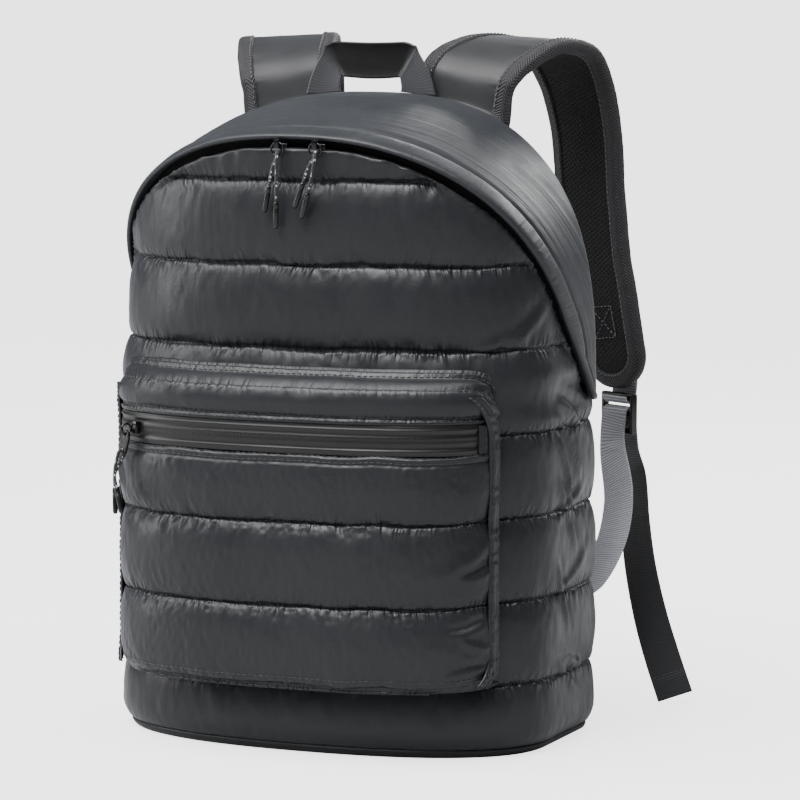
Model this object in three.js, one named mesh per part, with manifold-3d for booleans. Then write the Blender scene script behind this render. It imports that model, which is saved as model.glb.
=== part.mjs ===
// Quilted puffer backpack, in millimetres. Z is up, the front faces -Y and the wearer's back is at +Y.
// The origin is the middle of the base, on the surface that the bag stands on.
import * as THREE from 'three';
import { mergeVertices } from 'three/addons/utils/BufferGeometryUtils.js';
import Module from 'manifold-3d';

// Gaps between pieces that touch on the real bag
const touch = 0.3;
const seat = 0.7;

// Body: half width, and how far its front and back faces lie from the middle line
const body_half_width = 156;
const front_depth = 90;
const back_depth = 78;
const front_round = 2.35;
const back_corner = 12;
const back_lean = 20;
const lean_start = 120;
const wall_thick = 12;

// The hood's arch: where its sides start to curve in, how high it stands, and how square it is
const arch_start = 250;
const arch_top = 427;
const arch_power = 2.65;

// The zip flap's edge lies in one sloping plane: its height at the middle line and its rise per mm forward
const lip_height = 294.6;
const lip_slope = 1.2;
const lip_half_width = 153;
const lip_front = 90;
const lip_centre = 10;
const lip_round = 2.3;
const lip_end = 58;

// Quilting: level of the first seam, the step between seams, and how deep a seam is drawn in
const seam_first = 48;
const seam_step = 54.33;
const seam_count = 7;
const seam_depth = 7;

// Front panel under the flap
const panel_top = 403;
const panel_arch_start = 238;
const panel_arch_power = 2.9;
const panel_drop = 6;
const panel_tuck = 9;
const tuck_start = 212;
const tuck_rise = 60;

// Base
const base_thick = 6;
const base_round = 20;
const base_flat_inset = 14;

// Gusset and flap
const gusset_thick = 4.5;
const flap_width = 19;
const flap_thick = 4;
const flap_proud = 1;

// Zip tapes
const zip_tape_thick = 1.7;
const zip_tape_back = 10;
const zip_tape_low = 18;

// Front pocket
const pocket_half_width = 134;
const pocket_front = 118;
const pocket_side = 54.5;
const pocket_square = 2.6;
const pocket_round = 2.2;
const pocket_bottom = 48;
const pocket_floor_thick = 6;
const pocket_wall = 9;
const pocket_bottom_round = 9;
const pocket_zip_low = 201;
const pocket_zip_high = 221;
const pocket_edge_top = 243;
const pocket_back_top = 255;
const pocket_corner_drop = 13;
const pocket_cover_thick = 6;
const pocket_seam_depth = 6;
const binding_width = 9.5;
const binding_thick = 1.8;

// Webbing
const web_width = 25;
const web_thick = 1.8;
const web_steps = 38;

// Haul handle
const handle_half_span = 47;
const handle_low = 437;
const handle_corner = 6;
const handle_lean = 13;
const handle_place = 48;
const handle_thick = 2.6;

// Shoulder straps
const strap_half_width = 36;
const strap_thick = 9;
const strap_edge = 4.5;
const strap_edge_thick = 7;

// Ladder locks
const lock_width = 33;
const lock_height = 28;
const lock_thick = 5;
const lock_bar = 4;
const lock_turn = 3;

// Zip pulls
const ring_radius = 4.25;
const ring_wire = 0.75;
const cord_radius = 1.1;
const tip_radius = 1.75;
const tip_length = 17.5;
const tip_sides = 8;

const colour = { nylon: 0x3e4043, dark: 0x232529, web: 0x55575a, mesh: 0x17181a, metal: 0x2a2b2e, cord: 0x1d1e20 };
const nylon = new THREE.MeshStandardMaterial({ color: colour.nylon, roughness: 0.42, metalness: 0 });
const dark_nylon = new THREE.MeshStandardMaterial({ color: colour.dark, roughness: 0.6, metalness: 0 });
const coated_tape = new THREE.MeshStandardMaterial({ color: colour.mesh, roughness: 0.3, metalness: 0 });
const grosgrain = new THREE.MeshStandardMaterial({ color: colour.mesh, roughness: 0.85, metalness: 0 });
const webbing = new THREE.MeshStandardMaterial({ color: colour.web, roughness: 0.7, metalness: 0 });
const plastic = new THREE.MeshStandardMaterial({ color: colour.mesh, roughness: 0.4, metalness: 0 });
const black_metal = new THREE.MeshStandardMaterial({ color: colour.metal, roughness: 0.35, metalness: 0.9 });
const cord_cover = new THREE.MeshStandardMaterial({ color: colour.cord, roughness: 0.8, metalness: 0 });

const wasm = await Module();
wasm.setup();
const backpack = new THREE.Group();

const vec = (x, y, z) => new THREE.Vector3(x, y, z);
const mix = (a, b, t) => a + (b - a) * t;
const clamp = (t) => Math.min(1, Math.max(0, t));
const smooth = (t) => clamp(t) ** 2 * (3 - 2 * clamp(t));
const power = (t, p) => Math.sign(t) * Math.abs(t) ** p;

function add(name, geometry, material) {
  const mesh = new THREE.Mesh(geometry, material);
  mesh.name = name;
  backpack.add(mesh);
  return mesh;
}

// A geometry from points and faces, turned so that its faces point out.
function closed(points, faces) {
  let volume = 0;
  for (const [a, b, c] of faces) {
    volume += points[a].dot(points[b].clone().cross(points[c]));
  }
  const turned = volume < 0 ? faces.map(([a, b, c]) => [a, c, b]) : faces;
  const geometry = new THREE.BufferGeometry();
  geometry.setAttribute('position', new THREE.Float32BufferAttribute(points.flatMap((p) => p.toArray()), 3));
  geometry.setIndex(turned.flat());
  geometry.computeVertexNormals();
  return geometry;
}

// Triangles between two rows of point numbers that run the same way, with any number of points in each.
function bridge(faces, a, b) {
  let i = 0;
  let j = 0;
  while (i + 1 < a.length || j + 1 < b.length) {
    const a_next = (i + 1) / Math.max(1, a.length - 1);
    const b_next = (j + 1) / Math.max(1, b.length - 1);
    if (j + 1 >= b.length || (i + 1 < a.length && a_next <= b_next)) {
      faces.push([a[i + 1], a[i], b[j]]);
      i += 1;
    } else {
      faces.push([b[j], b[j + 1], a[i]]);
      j += 1;
    }
  }
}

// A closed wall from its outer and inner skins, each a list of rows of points, joined round the edge.
function wall(outer, inner) {
  const points = [];
  const faces = [];
  const lay = (skin) => skin.map((row) => row.map((p) => points.push(p) - 1));
  const fill = (ids, turned) => {
    for (let i = 0; i + 1 < ids.length; i += 1) {
      for (let j = 0; j + 1 < ids[0].length; j += 1) {
        const quad = [ids[i][j], ids[i][j + 1], ids[i + 1][j + 1], ids[i + 1][j]];
        const [a, b, c, d] = turned ? quad.reverse() : quad;
        faces.push([a, b, c], [a, c, d]);
      }
    }
  };
  const rims = (ids) => [
    ids[0],
    ids.map((row) => row.at(-1)),
    [...ids.at(-1)].reverse(),
    ids.map((row) => row[0]).reverse(),
  ];
  const out = lay(outer);
  const back = lay(inner);
  fill(out, false);
  fill(back, true);
  const back_rims = rims(back);
  rims(out).forEach((rim, k) => bridge(faces, rim, back_rims[k]));
  return closed(points, faces);
}

// A closed body through a list of loops. A loop runs along one side and back along the other, with an even count
// of points, and each end is closed by strips between the two sides.
function loft(loops) {
  const points = [];
  const faces = [];
  const ids = loops.map((loop) => loop.map((p) => points.push(p) - 1));
  const count = ids[0].length;
  for (let i = 0; i + 1 < ids.length; i += 1) {
    for (let j = 0; j < count; j += 1) {
      const next = (j + 1) % count;
      const [a, b, c, d] = [ids[i][j], ids[i][next], ids[i + 1][next], ids[i + 1][j]];
      faces.push([a, b, c], [a, c, d]);
    }
  }
  for (const end of [0, loops.length - 1]) {
    for (let j = 0; j + 1 < count / 2; j += 1) {
      const [a, b, c, d] = [ids[end][j], ids[end][j + 1], ids[end][count - 2 - j], ids[end][count - 1 - j]];
      faces.push(...(end === 0 ? [[a, c, b], [a, d, c]] : [[a, b, c], [a, c, d]]));
    }
  }
  return closed(points, faces);
}

function solidOf(geometry) {
  const bare = geometry.clone();
  bare.deleteAttribute('normal');
  bare.deleteAttribute('uv');
  const merged = mergeVertices(bare, 1e-4);
  return new wasm.Manifold(new wasm.Mesh({
    numProp: 3,
    vertProperties: Float32Array.from(merged.attributes.position.array),
    triVerts: Uint32Array.from(merged.index.array),
  }));
}

function geometryOf(solid) {
  const mesh = solid.getMesh();
  const geometry = new THREE.BufferGeometry();
  geometry.setAttribute('position', new THREE.BufferAttribute(mesh.vertProperties, mesh.numProp));
  geometry.setIndex(new THREE.BufferAttribute(mesh.triVerts, 1));
  geometry.computeVertexNormals();
  return geometry;
}

function mirrored(geometry) {
  const copy = geometry.clone().applyMatrix4(new THREE.Matrix4().makeScale(-1, 1, 1));
  const index = copy.index ? copy.index.array : null;
  if (index) {
    for (let i = 0; i < index.length; i += 3) {
      [index[i], index[i + 1]] = [index[i + 1], index[i]];
    }
    return copy;
  }
  const merged = mergeVertices(copy, 1e-4);
  const ids = merged.index.array;
  for (let i = 0; i < ids.length; i += 3) {
    [ids[i], ids[i + 1]] = [ids[i + 1], ids[i]];
  }
  return merged;
}

// The back face's distance from the middle line: it leans forward towards the top.
const back_at = (z) => back_depth - back_lean * clamp((z - lean_start) / (arch_top - lean_start)) ** 1.5;

// Plan of the bag: a rounded front, straight sides and a tight back corner.
// s runs from 0 at the front's middle to 1 where the back panel starts; inset moves the point inwards.
const plan_share = { front: 0.66, side: 0.88 };
function planPoint(s, z, inset) {
  const side = Math.sign(s) || 1;
  const t = Math.abs(s);
  const back = back_at(z);
  let x = 0;
  let y = 0;
  let nx = 1;
  let ny = 0;
  if (t < plan_share.front) {
    const angle = (t / plan_share.front) * Math.PI / 2;
    const [c, d] = [Math.cos(angle), Math.sin(angle)];
    x = body_half_width * d ** (2 / front_round);
    y = -front_depth * c ** (2 / front_round);
    nx = d ** (2 - 2 / front_round) / body_half_width;
    ny = -(c ** (2 - 2 / front_round)) / front_depth;
  } else if (t < plan_share.side) {
    x = body_half_width;
    y = (back - back_corner) * (t - plan_share.front) / (plan_share.side - plan_share.front);
  } else {
    const angle = (t - plan_share.side) / (1 - plan_share.side) * Math.PI / 2;
    nx = Math.cos(angle);
    ny = Math.sin(angle);
    x = body_half_width - back_corner + back_corner * nx;
    y = back - back_corner + back_corner * ny;
  }
  const length = Math.hypot(nx, ny);
  const corner_x = t > plan_share.side ? body_half_width - back_corner : 0;
  return {
    x: side * Math.max(corner_x, x - inset * nx / length),
    y: y - inset * ny / length,
    face: Math.abs(ny) / length,
  };
}

// How far the cloth is drawn in at a height: 0 on a puff's crest and 1 in a seam.
function drawnIn(z, seams) {
  const above = seams.findIndex((level) => level > z);
  const low = above > 0 ? seams[above - 1] : seams.at(above < 0 ? -1 : 0);
  const high = above >= 0 ? seams[above] : low + seam_step;
  if (above === 0 || high <= low) {
    return 0;
  }
  const t = (z - low) / (high - low);
  return (1 - Math.sin(Math.PI * clamp(t)) ** 0.6);
}

const body_seams = Array.from({ length: seam_count }, (_, k) => seam_first + k * seam_step);

// The quilted wall's surface at plan share s and height z, inset from the crests.
function bodyPoint(s, z, inset) {
  const foot = z < base_round ? base_round - Math.sqrt(base_round ** 2 - (base_round - z) ** 2) : 0;
  const plain = planPoint(s, z, 0);
  const tuck = panel_tuck * smooth((z - tuck_start) / tuck_rise) * (0.22 + 0.78 * (1 - plain.face));
  const at = planPoint(s, z, inset + foot + tuck);
  const t = clamp((z - panel_arch_start) / (panel_top - panel_arch_start));
  const narrow = (1 - t ** panel_arch_power) ** (1 / panel_arch_power);
  return vec(at.x * narrow, at.y, z);
}

// Quilted front and sides: one padded wall, open at the back and cut along the flap's slope
const band_shares = [0, 0.16, 0.5, 0.84];
const body_rows = [base_thick + touch, 11, base_round, 34];
for (const level of body_seams.slice(0, -1)) {
  for (const share of band_shares) {
    body_rows.push(level + share * seam_step);
  }
}
body_rows.push(body_seams.at(-1), body_seams.at(-1) + 9, body_seams.at(-1) + 17, panel_top - 6);
const half_columns = [0, 0.05, 0.1, 0.15, 0.2, 0.25, 0.3, 0.35, 0.4, 0.45, 0.5, 0.55, 0.6, 0.66,
  0.735, 0.81, 0.88, 0.92, 0.96, 1];
const body_columns = [...half_columns.slice(1).reverse().map((s) => -s), ...half_columns];
const inner_columns = body_columns.filter((_, k) => k % 2 === 0);
const body_levels = [0, ...body_seams];
const depthAt = (s, z) => seam_depth * drawnIn(z, body_levels.slice(1)) * (0.6 + 0.4 * planPoint(s, z, 0).face);
const body_skin = body_rows.map((z) => body_columns.map((s) => bodyPoint(s, z, depthAt(s, z))));
const inner_rows = [base_thick + touch, base_round, seam_first, ...body_seams.slice(2, 4),
  body_seams[4], 300, 340, 372, panel_top - 6];
const body_lining = inner_rows.map((z) => inner_columns.map((s) => bodyPoint(s, z, wall_thick)));
const cut_height = lip_height - panel_drop;
const hood_foot = lip_height - lip_slope * lip_end;
const shoulder = hood_foot - seat - touch;
const far = 2 * back_depth + front_depth;
const cut_shape = new THREE.Shape([
  new THREE.Vector2(-far, cut_height + lip_slope * far),
  new THREE.Vector2((cut_height - shoulder) / lip_slope, shoulder),
  new THREE.Vector2(far, shoulder),
  new THREE.Vector2(far, 2 * arch_top),
  new THREE.Vector2(-far, 2 * arch_top),
]);
const cut_block = new THREE.ExtrudeGeometry(cut_shape, { depth: 4 * body_half_width, bevelEnabled: false });
cut_block.translate(0, 0, -2 * body_half_width);
cut_block.applyMatrix4(new THREE.Matrix4().makeBasis(vec(0, 1, 0), vec(0, 0, 1), vec(1, 0, 0)));
const quilted = solidOf(wall(body_skin, body_lining)).subtract(solidOf(cut_block));
add('quilted_body', geometryOf(quilted), nylon);

// Base panel: a flat stiffened plate with a rounded edge
const round_share = 0.35;
const base_sections = [
  { z: 0, inset: base_flat_inset },
  { z: base_thick * round_share, inset: mix(base_flat_inset, 7, 0.75) },
  { z: base_thick, inset: 7 },
];
const loop_shares = body_columns;
add('base_panel', loft(base_sections.map(({ z, inset }) => loop_shares.map((s) => {
  const at = planPoint(s, 0, inset);
  return vec(at.x, at.y, z);
}))), dark_nylon);

// The hood's back edge: an arch on straight sides. a runs from 0 at the top to 1 at the shoulder.
const arch_share = 0.85;
function archPoint(a) {
  const side = Math.sign(a) || 1;
  const t = Math.abs(a);
  if (t < arch_share) {
    const angle = (t / arch_share) * Math.PI / 2;
    return {
      x: side * body_half_width * Math.sin(angle) ** (2 / arch_power),
      z: mix(arch_start, arch_top, Math.cos(angle) ** (2 / arch_power)),
    };
  }
  return { x: side * body_half_width, z: mix(arch_start, hood_foot, (t - arch_share) / (1 - arch_share)) };
}

// The arch's outward direction in the XZ plane.
function archOut(a) {
  const side = Math.sign(a) || 1;
  const t = Math.abs(a);
  if (t >= arch_share) {
    return { x: side, z: 0 };
  }
  const angle = (t / arch_share) * Math.PI / 2;
  const across = Math.sin(angle) ** (2 - 2 / arch_power) / body_half_width;
  const up = Math.cos(angle) ** (2 - 2 / arch_power) / (arch_top - arch_start);
  const length = Math.hypot(across, up);
  return { x: side * across / length, z: up / length };
}

// The flap's free edge, in its sloping plane.
const lip_share = 0.78;
function lipPoint(a) {
  const side = Math.sign(a) || 1;
  const t = Math.abs(a);
  let x = lip_half_width;
  let y = 0;
  if (t < lip_share) {
    const angle = (t / lip_share) * Math.PI / 2;
    x = lip_half_width * Math.sin(angle) ** (2 / lip_round);
    y = lip_centre - (lip_front + lip_centre) * Math.cos(angle) ** (2 / lip_round);
  } else {
    const down = (t - lip_share) / (1 - lip_share);
    x = mix(lip_half_width, body_half_width, down);
    y = mix(lip_centre, lip_end, down);
  }
  return vec(side * x, y, lip_height - lip_slope * y);
}

// The hood's outer surface, at a mm along it from the flap's edge towards the back.
const hood_bulge = 1.6;
function hoodLength(a) {
  const arch = archPoint(a);
  return lipPoint(a).distanceTo(vec(arch.x, back_at(arch.z) - back_corner, arch.z));
}
const hoodReach = (a) => hoodLength(a) + back_corner * Math.PI / 2;
function hoodPoint(a, along) {
  const lip = lipPoint(a);
  const arch = archPoint(a);
  const out = archOut(a);
  const turn_y = back_at(arch.z) - back_corner;
  const length = hoodLength(a);
  if (along < length) {
    const t = along / length;
    const rise = 1 - (1 - t) ** hood_bulge;
    return vec(mix(lip.x, arch.x, rise), mix(lip.y, turn_y, t), mix(lip.z, arch.z, rise));
  }
  const angle = (along - length) / back_corner;
  const drop = back_corner * (1 - Math.cos(angle));
  return vec(arch.x - out.x * drop, turn_y + back_corner * Math.sin(angle), arch.z - out.z * drop);
}
function hoodOut(a, along) {
  const step = 0.01;
  const da = Math.abs(a) > 1 - step ? -Math.sign(a) * step : step;
  const u = hoodPoint(a + da, along).sub(hoodPoint(a, along)).multiplyScalar(Math.sign(da));
  const near = Math.min(along + 0.5, hoodReach(a));
  const v = hoodPoint(a, near).sub(hoodPoint(a, near - 0.5));
  return u.cross(v).normalize();
}
const hoodAt = (a, along, off) => hoodPoint(a, along).addScaledVector(hoodOut(a, along), off);

const half_arch = [0.02, 0.07, 0.12, 0.18, 0.24, 0.3, 0.37, 0.44, 0.51, 0.58, 0.65, 0.72, 0.78, 0.84, 0.89,
  0.94, 1];
const arch_columns = [...half_arch.slice().reverse().map((a) => -a), 0, ...half_arch];
const flapWidth = (a) => Math.min(flap_width, 0.36 * hoodReach(a));

// Hood gusset: the smooth panel from the flap's seam over the top to the back panel
const gusset_outer = [0, 0.18, 0.4, 0.62, 0.82, 1];
const corner_steps = [1 / 3, 2 / 3, 1];
function gussetRow(kind, share, off) {
  return arch_columns.map((a) => {
    const start = flapWidth(a) + seat + 2 * touch;
    const turn = Math.max(start + 0.5, hoodLength(a));
    const along = kind === 'top' ? mix(start, turn, share) : mix(turn, hoodReach(a), share);
    return hoodAt(a, along, off);
  });
}
const gusset_skin = [
  ...gusset_outer.map((share) => gussetRow('top', share, 0)),
  ...corner_steps.map((share) => gussetRow('corner', share, 0)),
];
const gusset_lining = [
  ...[0, 0.5, 1].map((share) => gussetRow('top', share, -gusset_thick)),
  ...[0.5, 1].map((share) => gussetRow('corner', share, -gusset_thick)),
];
const gusset = wall(gusset_skin, gusset_lining);
add('top_gusset', gusset, nylon);
// What is sewn on at the hood's back seam is cut to the hood's shape, a seam's gap above it.
const hood_cut = solidOf(gusset).translate([0, touch, seat]);
const onHood = (geometry) => geometryOf(solidOf(geometry).subtract(hood_cut));

// Zip flap: the lip that stands over the main zip
const flap_shares = [0, 0.12, 0.5, 0.9, 1];
const flap_crown = [0.1, 0.9, 1, 1, 0.4];
const flap_skin = flap_shares.map((share, k) => arch_columns.map(
  (a) => hoodAt(a, share * flapWidth(a), flap_proud * flap_crown[k]),
));
const flap_lining = [0, 0.5, 1].map((share) => arch_columns.map(
  (a) => hoodAt(a, share * flapWidth(a), flap_proud - flap_thick),
));
add('zip_flap', wall(flap_skin, flap_lining), nylon);

// Main zip tape: a strip from the front panel's top edge to the flap's underside
const slope_length = Math.hypot(1, lip_slope);
const plane_up = vec(0, lip_slope, 1).divideScalar(slope_length);
const plane_drop = panel_drop / slope_length - touch - 0.05;
function lipInward(a) {
  const step = 0.01;
  const along = lipPoint(a + step).sub(lipPoint(a - step));
  return along.cross(plane_up).normalize().multiplyScalar(-1);
}
const tape_columns = arch_columns.filter((a) => Math.abs(a) < 0.95);
function tapeRow(low, back) {
  const down = (a, width) => {
    const inward = lipInward(a);
    const towards = Math.sign(inward.dot(vec(-lipPoint(a).x, 0, 200 - lipPoint(a).z))) || 1;
    return lipPoint(a).addScaledVector(inward, towards * width).addScaledVector(plane_up, -plane_drop);
  };
  return low
    ? tape_columns.map((a) => down(a, zip_tape_low + (back ? 2 * zip_tape_thick : 0)))
    : tape_columns.map((a) => hoodAt(a, zip_tape_back + (back ? zip_tape_thick : 0), flap_proud - flap_thick - touch - 0.1));
}
add('main_zip_tape', wall([tapeRow(true, false), tapeRow(false, false)], [tapeRow(true, true), tapeRow(false, true)]),
  coated_tape);

// Back panel: a flat padded slab inside the arch, leaning with the back face
const panel_gap = back_corner + touch + 0.1;
const panel_rows = [
  ...[base_thick + touch, 60, lean_start, 180, shoulder].map((z) => ({ x: body_half_width - panel_gap, z })),
  ...[0.8, 0.7, 0.58, 0.46, 0.34, 0.24, 0.16, 0.09, 0.04].map((a) => {
    const arch = archPoint(a);
    const out = archOut(a);
    return { x: arch.x - out.x * panel_gap, z: arch.z - out.z * panel_gap };
  }),
];
const panel_shares = [-1, -0.6, -0.2, 0.2, 0.6, 1];
const panelSkin = (off) => panel_rows.map(({ x, z }) => panel_shares.map((k) => vec(k * x, back_at(z) - off, z)));
add('back_panel', wall(panelSkin(0), panelSkin(wall_thick)), dark_nylon);

// Pocket plan: u runs from -1 to 1 across it; 'in' gives the inner surface.
function pocketPlan(u, inset) {
  const angle = u * Math.PI / 2;
  const half = pocket_half_width - inset;
  return {
    x: half * power(Math.sin(angle), 2 / pocket_square),
    y: -pocket_side - (pocket_front - pocket_side - inset) * Math.cos(angle) ** (2 / pocket_round),
  };
}
// The body's front surface, on the crests, at a distance x from the middle.
const bodyFront = (x) => -front_depth * (1 - Math.abs(x / body_half_width) ** front_round) ** (1 / front_round);
function pocketPoint(u, z, inset) {
  const at = pocketPlan(u, inset);
  return vec(at.x, Math.min(at.y, bodyFront(at.x) - seat), z);
}
const half_pocket = [0, 0.1, 0.2, 0.3, 0.4, 0.5, 0.6, 0.69, 0.77, 0.84, 0.9, 0.95, 1];
const pocket_columns = [...half_pocket.slice(1).reverse().map((u) => -u), ...half_pocket];
const pocket_inner = pocket_columns.filter((_, k) => k % 2 === 0);
const pocket_seams = [pocket_bottom + 3, body_seams[1], body_seams[2], pocket_zip_low];

// Lower pocket panel: three quilted bands over a floor that runs back to the body
function pocketFloor(u, share, inset, z) {
  const front = pocketPoint(u, z, inset);
  const back = vec(front.x, bodyFront(front.x) - seat, z);
  return back.lerp(front, share);
}
const pocketDepth = (z) => pocket_seam_depth * drawnIn(z, pocket_seams);
const pocket_levels = [];
for (let k = 0; k + 1 < pocket_seams.length; k += 1) {
  for (const share of band_shares) {
    pocket_levels.push(mix(pocket_seams[k], pocket_seams[k + 1], share));
  }
}
pocket_levels.push(pocket_zip_low);
const pocket_skin = [
  pocket_columns.map((u) => pocketFloor(u, 0, pocket_bottom_round, pocket_bottom)),
  pocket_columns.map((u) => pocketFloor(u, 1, pocket_bottom_round, pocket_bottom)),
  ...pocket_levels.map((z) => pocket_columns.map(
    (u) => pocketPoint(u, z, pocketDepth(z) * Math.cos(u * Math.PI / 2) ** 0.25),
  )),
];
const floor_top = pocket_bottom + pocket_floor_thick;
const pocket_lining = [
  pocket_inner.map((u) => pocketFloor(u, 0, pocket_bottom_round + 1, floor_top)),
  pocket_inner.map((u) => pocketFloor(u, 1, pocket_bottom_round + 1, floor_top)),
  ...[floor_top + 4, body_seams[1], body_seams[2], pocket_zip_low].map(
    (z) => pocket_inner.map((u) => pocketPoint(u, z, pocket_wall)),
  ),
];
add('pocket_panel', wall(pocket_skin, pocket_lining), nylon);

// Pocket top: the puffed band over the zip and the cover that runs back to the body
const cornerDrop = (u) => pocket_corner_drop * Math.abs(u) ** 9;
const edgeTop = (u) => pocket_edge_top - cornerDrop(u);
const backTop = (u) => pocket_back_top - 1.6 * cornerDrop(u);
function coverPoint(u, share, inset, low) {
  const front = pocketPoint(u, edgeTop(u) - low, inset);
  const back = vec(front.x, bodyFront(front.x) - seat, backTop(u) - low);
  return front.lerp(back, share);
}
const cover_skin = [
  ...[0, 0.2, 0.55, 0.85].map((share) => pocket_columns.map(
    (u) => pocketPoint(u, mix(pocket_zip_high, edgeTop(u), share), share === 0 ? 3 : 0.6 * (share > 0.8)),
  )),
  pocket_columns.map((u) => coverPoint(u, 0, 4, 0)),
  pocket_columns.map((u) => coverPoint(u, 0.5, 3, -1.5)),
  pocket_columns.map((u) => coverPoint(u, 1, 3, 0)),
];
const cover_lining = [
  pocket_inner.map((u) => pocketPoint(u, pocket_zip_high, pocket_wall)),
  pocket_inner.map((u) => pocketPoint(u, edgeTop(u) - pocket_cover_thick, pocket_wall)),
  pocket_inner.map((u) => coverPoint(u, 1, pocket_wall, pocket_cover_thick)),
];
add('pocket_top', wall(cover_skin, cover_lining), nylon);

// Pocket zip tape, set back between the two
const tape_set_back = 3;
const pocketTape = (inset) => [pocket_zip_low + touch, pocket_zip_high - touch].map(
  (z) => pocket_inner.map((u) => pocketPoint(u, z, inset)),
);
add('pocket_zip_tape', wall(pocketTape(tape_set_back), pocketTape(tape_set_back + zip_tape_thick)), coated_tape);

// Binding down each side of the pocket
const binding_rows = [pocket_bottom + 6, 80, body_seams[1], 130, body_seams[2], 180, pocket_zip_low,
  pocket_zip_high, pocket_edge_top - 4];
function bindingPoint(z, share, off) {
  const u = mix(0.915, 0.992, share);
  const at = pocketPlan(u, 0);
  const next = pocketPlan(u + 0.004, 0);
  const turn = Math.hypot(next.x - at.x, next.y - at.y);
  const normal = { x: -(at.y - next.y) / turn, y: -(next.x - at.x) / turn };
  const body = bodyFront(at.x) - seat;
  return vec(at.x + off * normal.x, Math.min(at.y + off * normal.y, body), z);
}
const bindingSkin = (off) => binding_rows.map((z) => [0, 0.5, 1].map((share) => bindingPoint(z, share, off)));
const binding = wall(bindingSkin(touch + 0.1 + binding_thick), bindingSkin(touch + 0.1));
add('pocket_binding_right', binding, grosgrain);
add('pocket_binding_left', mirrored(binding), grosgrain);

// Haul handle: a webbing loop folded at both corners, standing on the hood's back seam
const hoodTop = (x) => {
  const across = Math.min(1, Math.abs(x) / body_half_width);
  return mix(arch_start, arch_top, (1 - across ** arch_power) ** (1 / arch_power));
};
// The hood's outer surface over a place near its back corner.
function hoodSurface(x, y) {
  const past = Math.min(back_corner, Math.max(0, y - (back_at(hoodTop(x)) - back_corner)));
  const drop = back_corner - Math.sqrt(back_corner ** 2 - past ** 2);
  const slope = hoodTop(x + 0.5) - hoodTop(x - 0.5);
  return hoodTop(x) - drop * Math.hypot(1, slope);
}
const handleFoot = (x) => hoodSurface(x, handle_place - handle_thick / 2) + touch + 0.2;
const handle_gap = handle_half_span - web_width;
const handle_high = handle_low + web_width - 0.5;
const handle_top = handle_half_span - handle_lean;
const handle_shape = new THREE.Shape();
handle_shape.moveTo(-handle_half_span, handleFoot(handle_half_span));
handle_shape.lineTo(-handle_top, handle_high - handle_corner);
handle_shape.quadraticCurveTo(-handle_top, handle_high, -handle_top + handle_corner, handle_high);
handle_shape.lineTo(handle_top - handle_corner, handle_high);
handle_shape.quadraticCurveTo(handle_top, handle_high, handle_top, handle_high - handle_corner);
handle_shape.lineTo(handle_half_span, handleFoot(handle_half_span));
handle_shape.lineTo(handle_gap, handleFoot(handle_gap));
handle_shape.lineTo(handle_gap - 1, handle_low);
handle_shape.lineTo(-handle_gap + 1, handle_low);
handle_shape.lineTo(-handle_gap, handleFoot(handle_gap));
const handle = new THREE.ExtrudeGeometry(handle_shape, { depth: handle_thick, bevelEnabled: false, curveSegments: 4 });
handle.applyMatrix4(new THREE.Matrix4().makeBasis(vec(1, 0, 0), vec(0, 0, 1), vec(0, -1, 0)));
handle.translate(0, handle_place + handle_thick / 2, 0);
add('haul_handle', handle, webbing);

// Shoulder straps: route of the middle line, and the direction across it towards the outside
const strap_route = [
  { at: [61, 55.5, 420], out: [1, 0, 0], half: 0.97 },
  { at: [67, 61, 440], out: [1, -0.04, -0.16], half: 0.97 },
  { at: [78, 85, 454], out: [0.98, -0.16, -0.12], half: 0.98 },
  { at: [90, 114, 459], out: [0.95, -0.28, -0.04], half: 1 },
  { at: [100, 140, 452], out: [0.92, -0.38, 0], half: 1 },
  { at: [106, 158, 430], out: [0.88, -0.46, 0], half: 1 },
  { at: [110, 168, 397], out: [0.86, -0.5, 0], half: 0.98 },
  { at: [112, 171, 358], out: [0.86, -0.5, 0], half: 0.96 },
  { at: [116, 173, 315], out: [0.86, -0.5, 0], half: 0.94 },
  { at: [122, 175, 280], out: [0.86, -0.5, 0.02], half: 0.92 },
  { at: [128, 177, 246], out: [0.86, -0.5, 0.04], half: 0.88 },
];
const strap_curve = new THREE.CatmullRomCurve3(strap_route.map(({ at }) => vec(...at)));
const strap_out = new THREE.CatmullRomCurve3(strap_route.map(({ out }) => vec(...out)));
// Over this share of its length the strap's foot takes the shape of the hood's back corner.
const strap_foot_share = 0.07;
const strap_seat = 0.4;
const strapHalf = (t) => {
  const place = clamp(t) * (strap_route.length - 1);
  const k = Math.min(strap_route.length - 2, Math.floor(place));
  return strap_half_width * mix(strap_route[k].half, strap_route[k + 1].half, place - k);
};
// A point of the strap: t along it, w from -1 to 1 across it, off towards its outer face.
function strapPoint(t, across, off) {
  const middle = strap_curve.getPoint(t);
  const along = strap_curve.getTangent(t);
  const out = strap_out.getPoint(t);
  out.addScaledVector(along, -out.dot(along)).normalize();
  const face = out.clone().cross(along).normalize();
  const point = middle.addScaledVector(out, across).addScaledVector(face, off);
  const near = smooth(1 - t / strap_foot_share);
  point.z = mix(point.z, hoodSurface(point.x, point.y) + strap_seat, near);
  return point;
}
const strap_steps = [0, 0.035, 0.08, 0.14, 0.2, 0.27, 0.33, 0.38, 0.43, 0.48, 0.53, 0.6, 0.7, 0.8, 0.9, 1];
const pad_section = [
  { w: -1, off: 0.25 }, { w: -0.86, off: 0.5 }, { w: -0.3, off: 0.5 },
  { w: 0.3, off: 0.5 }, { w: 0.86, off: 0.5 }, { w: 1, off: 0.25 },
  { w: 1, off: -0.25 }, { w: 0.86, off: -0.5 }, { w: 0.3, off: -0.5 },
  { w: -0.3, off: -0.5 }, { w: -0.86, off: -0.5 }, { w: -1, off: -0.25 },
];
const pad_half = (t) => strapHalf(t) - strap_edge - touch;
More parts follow.
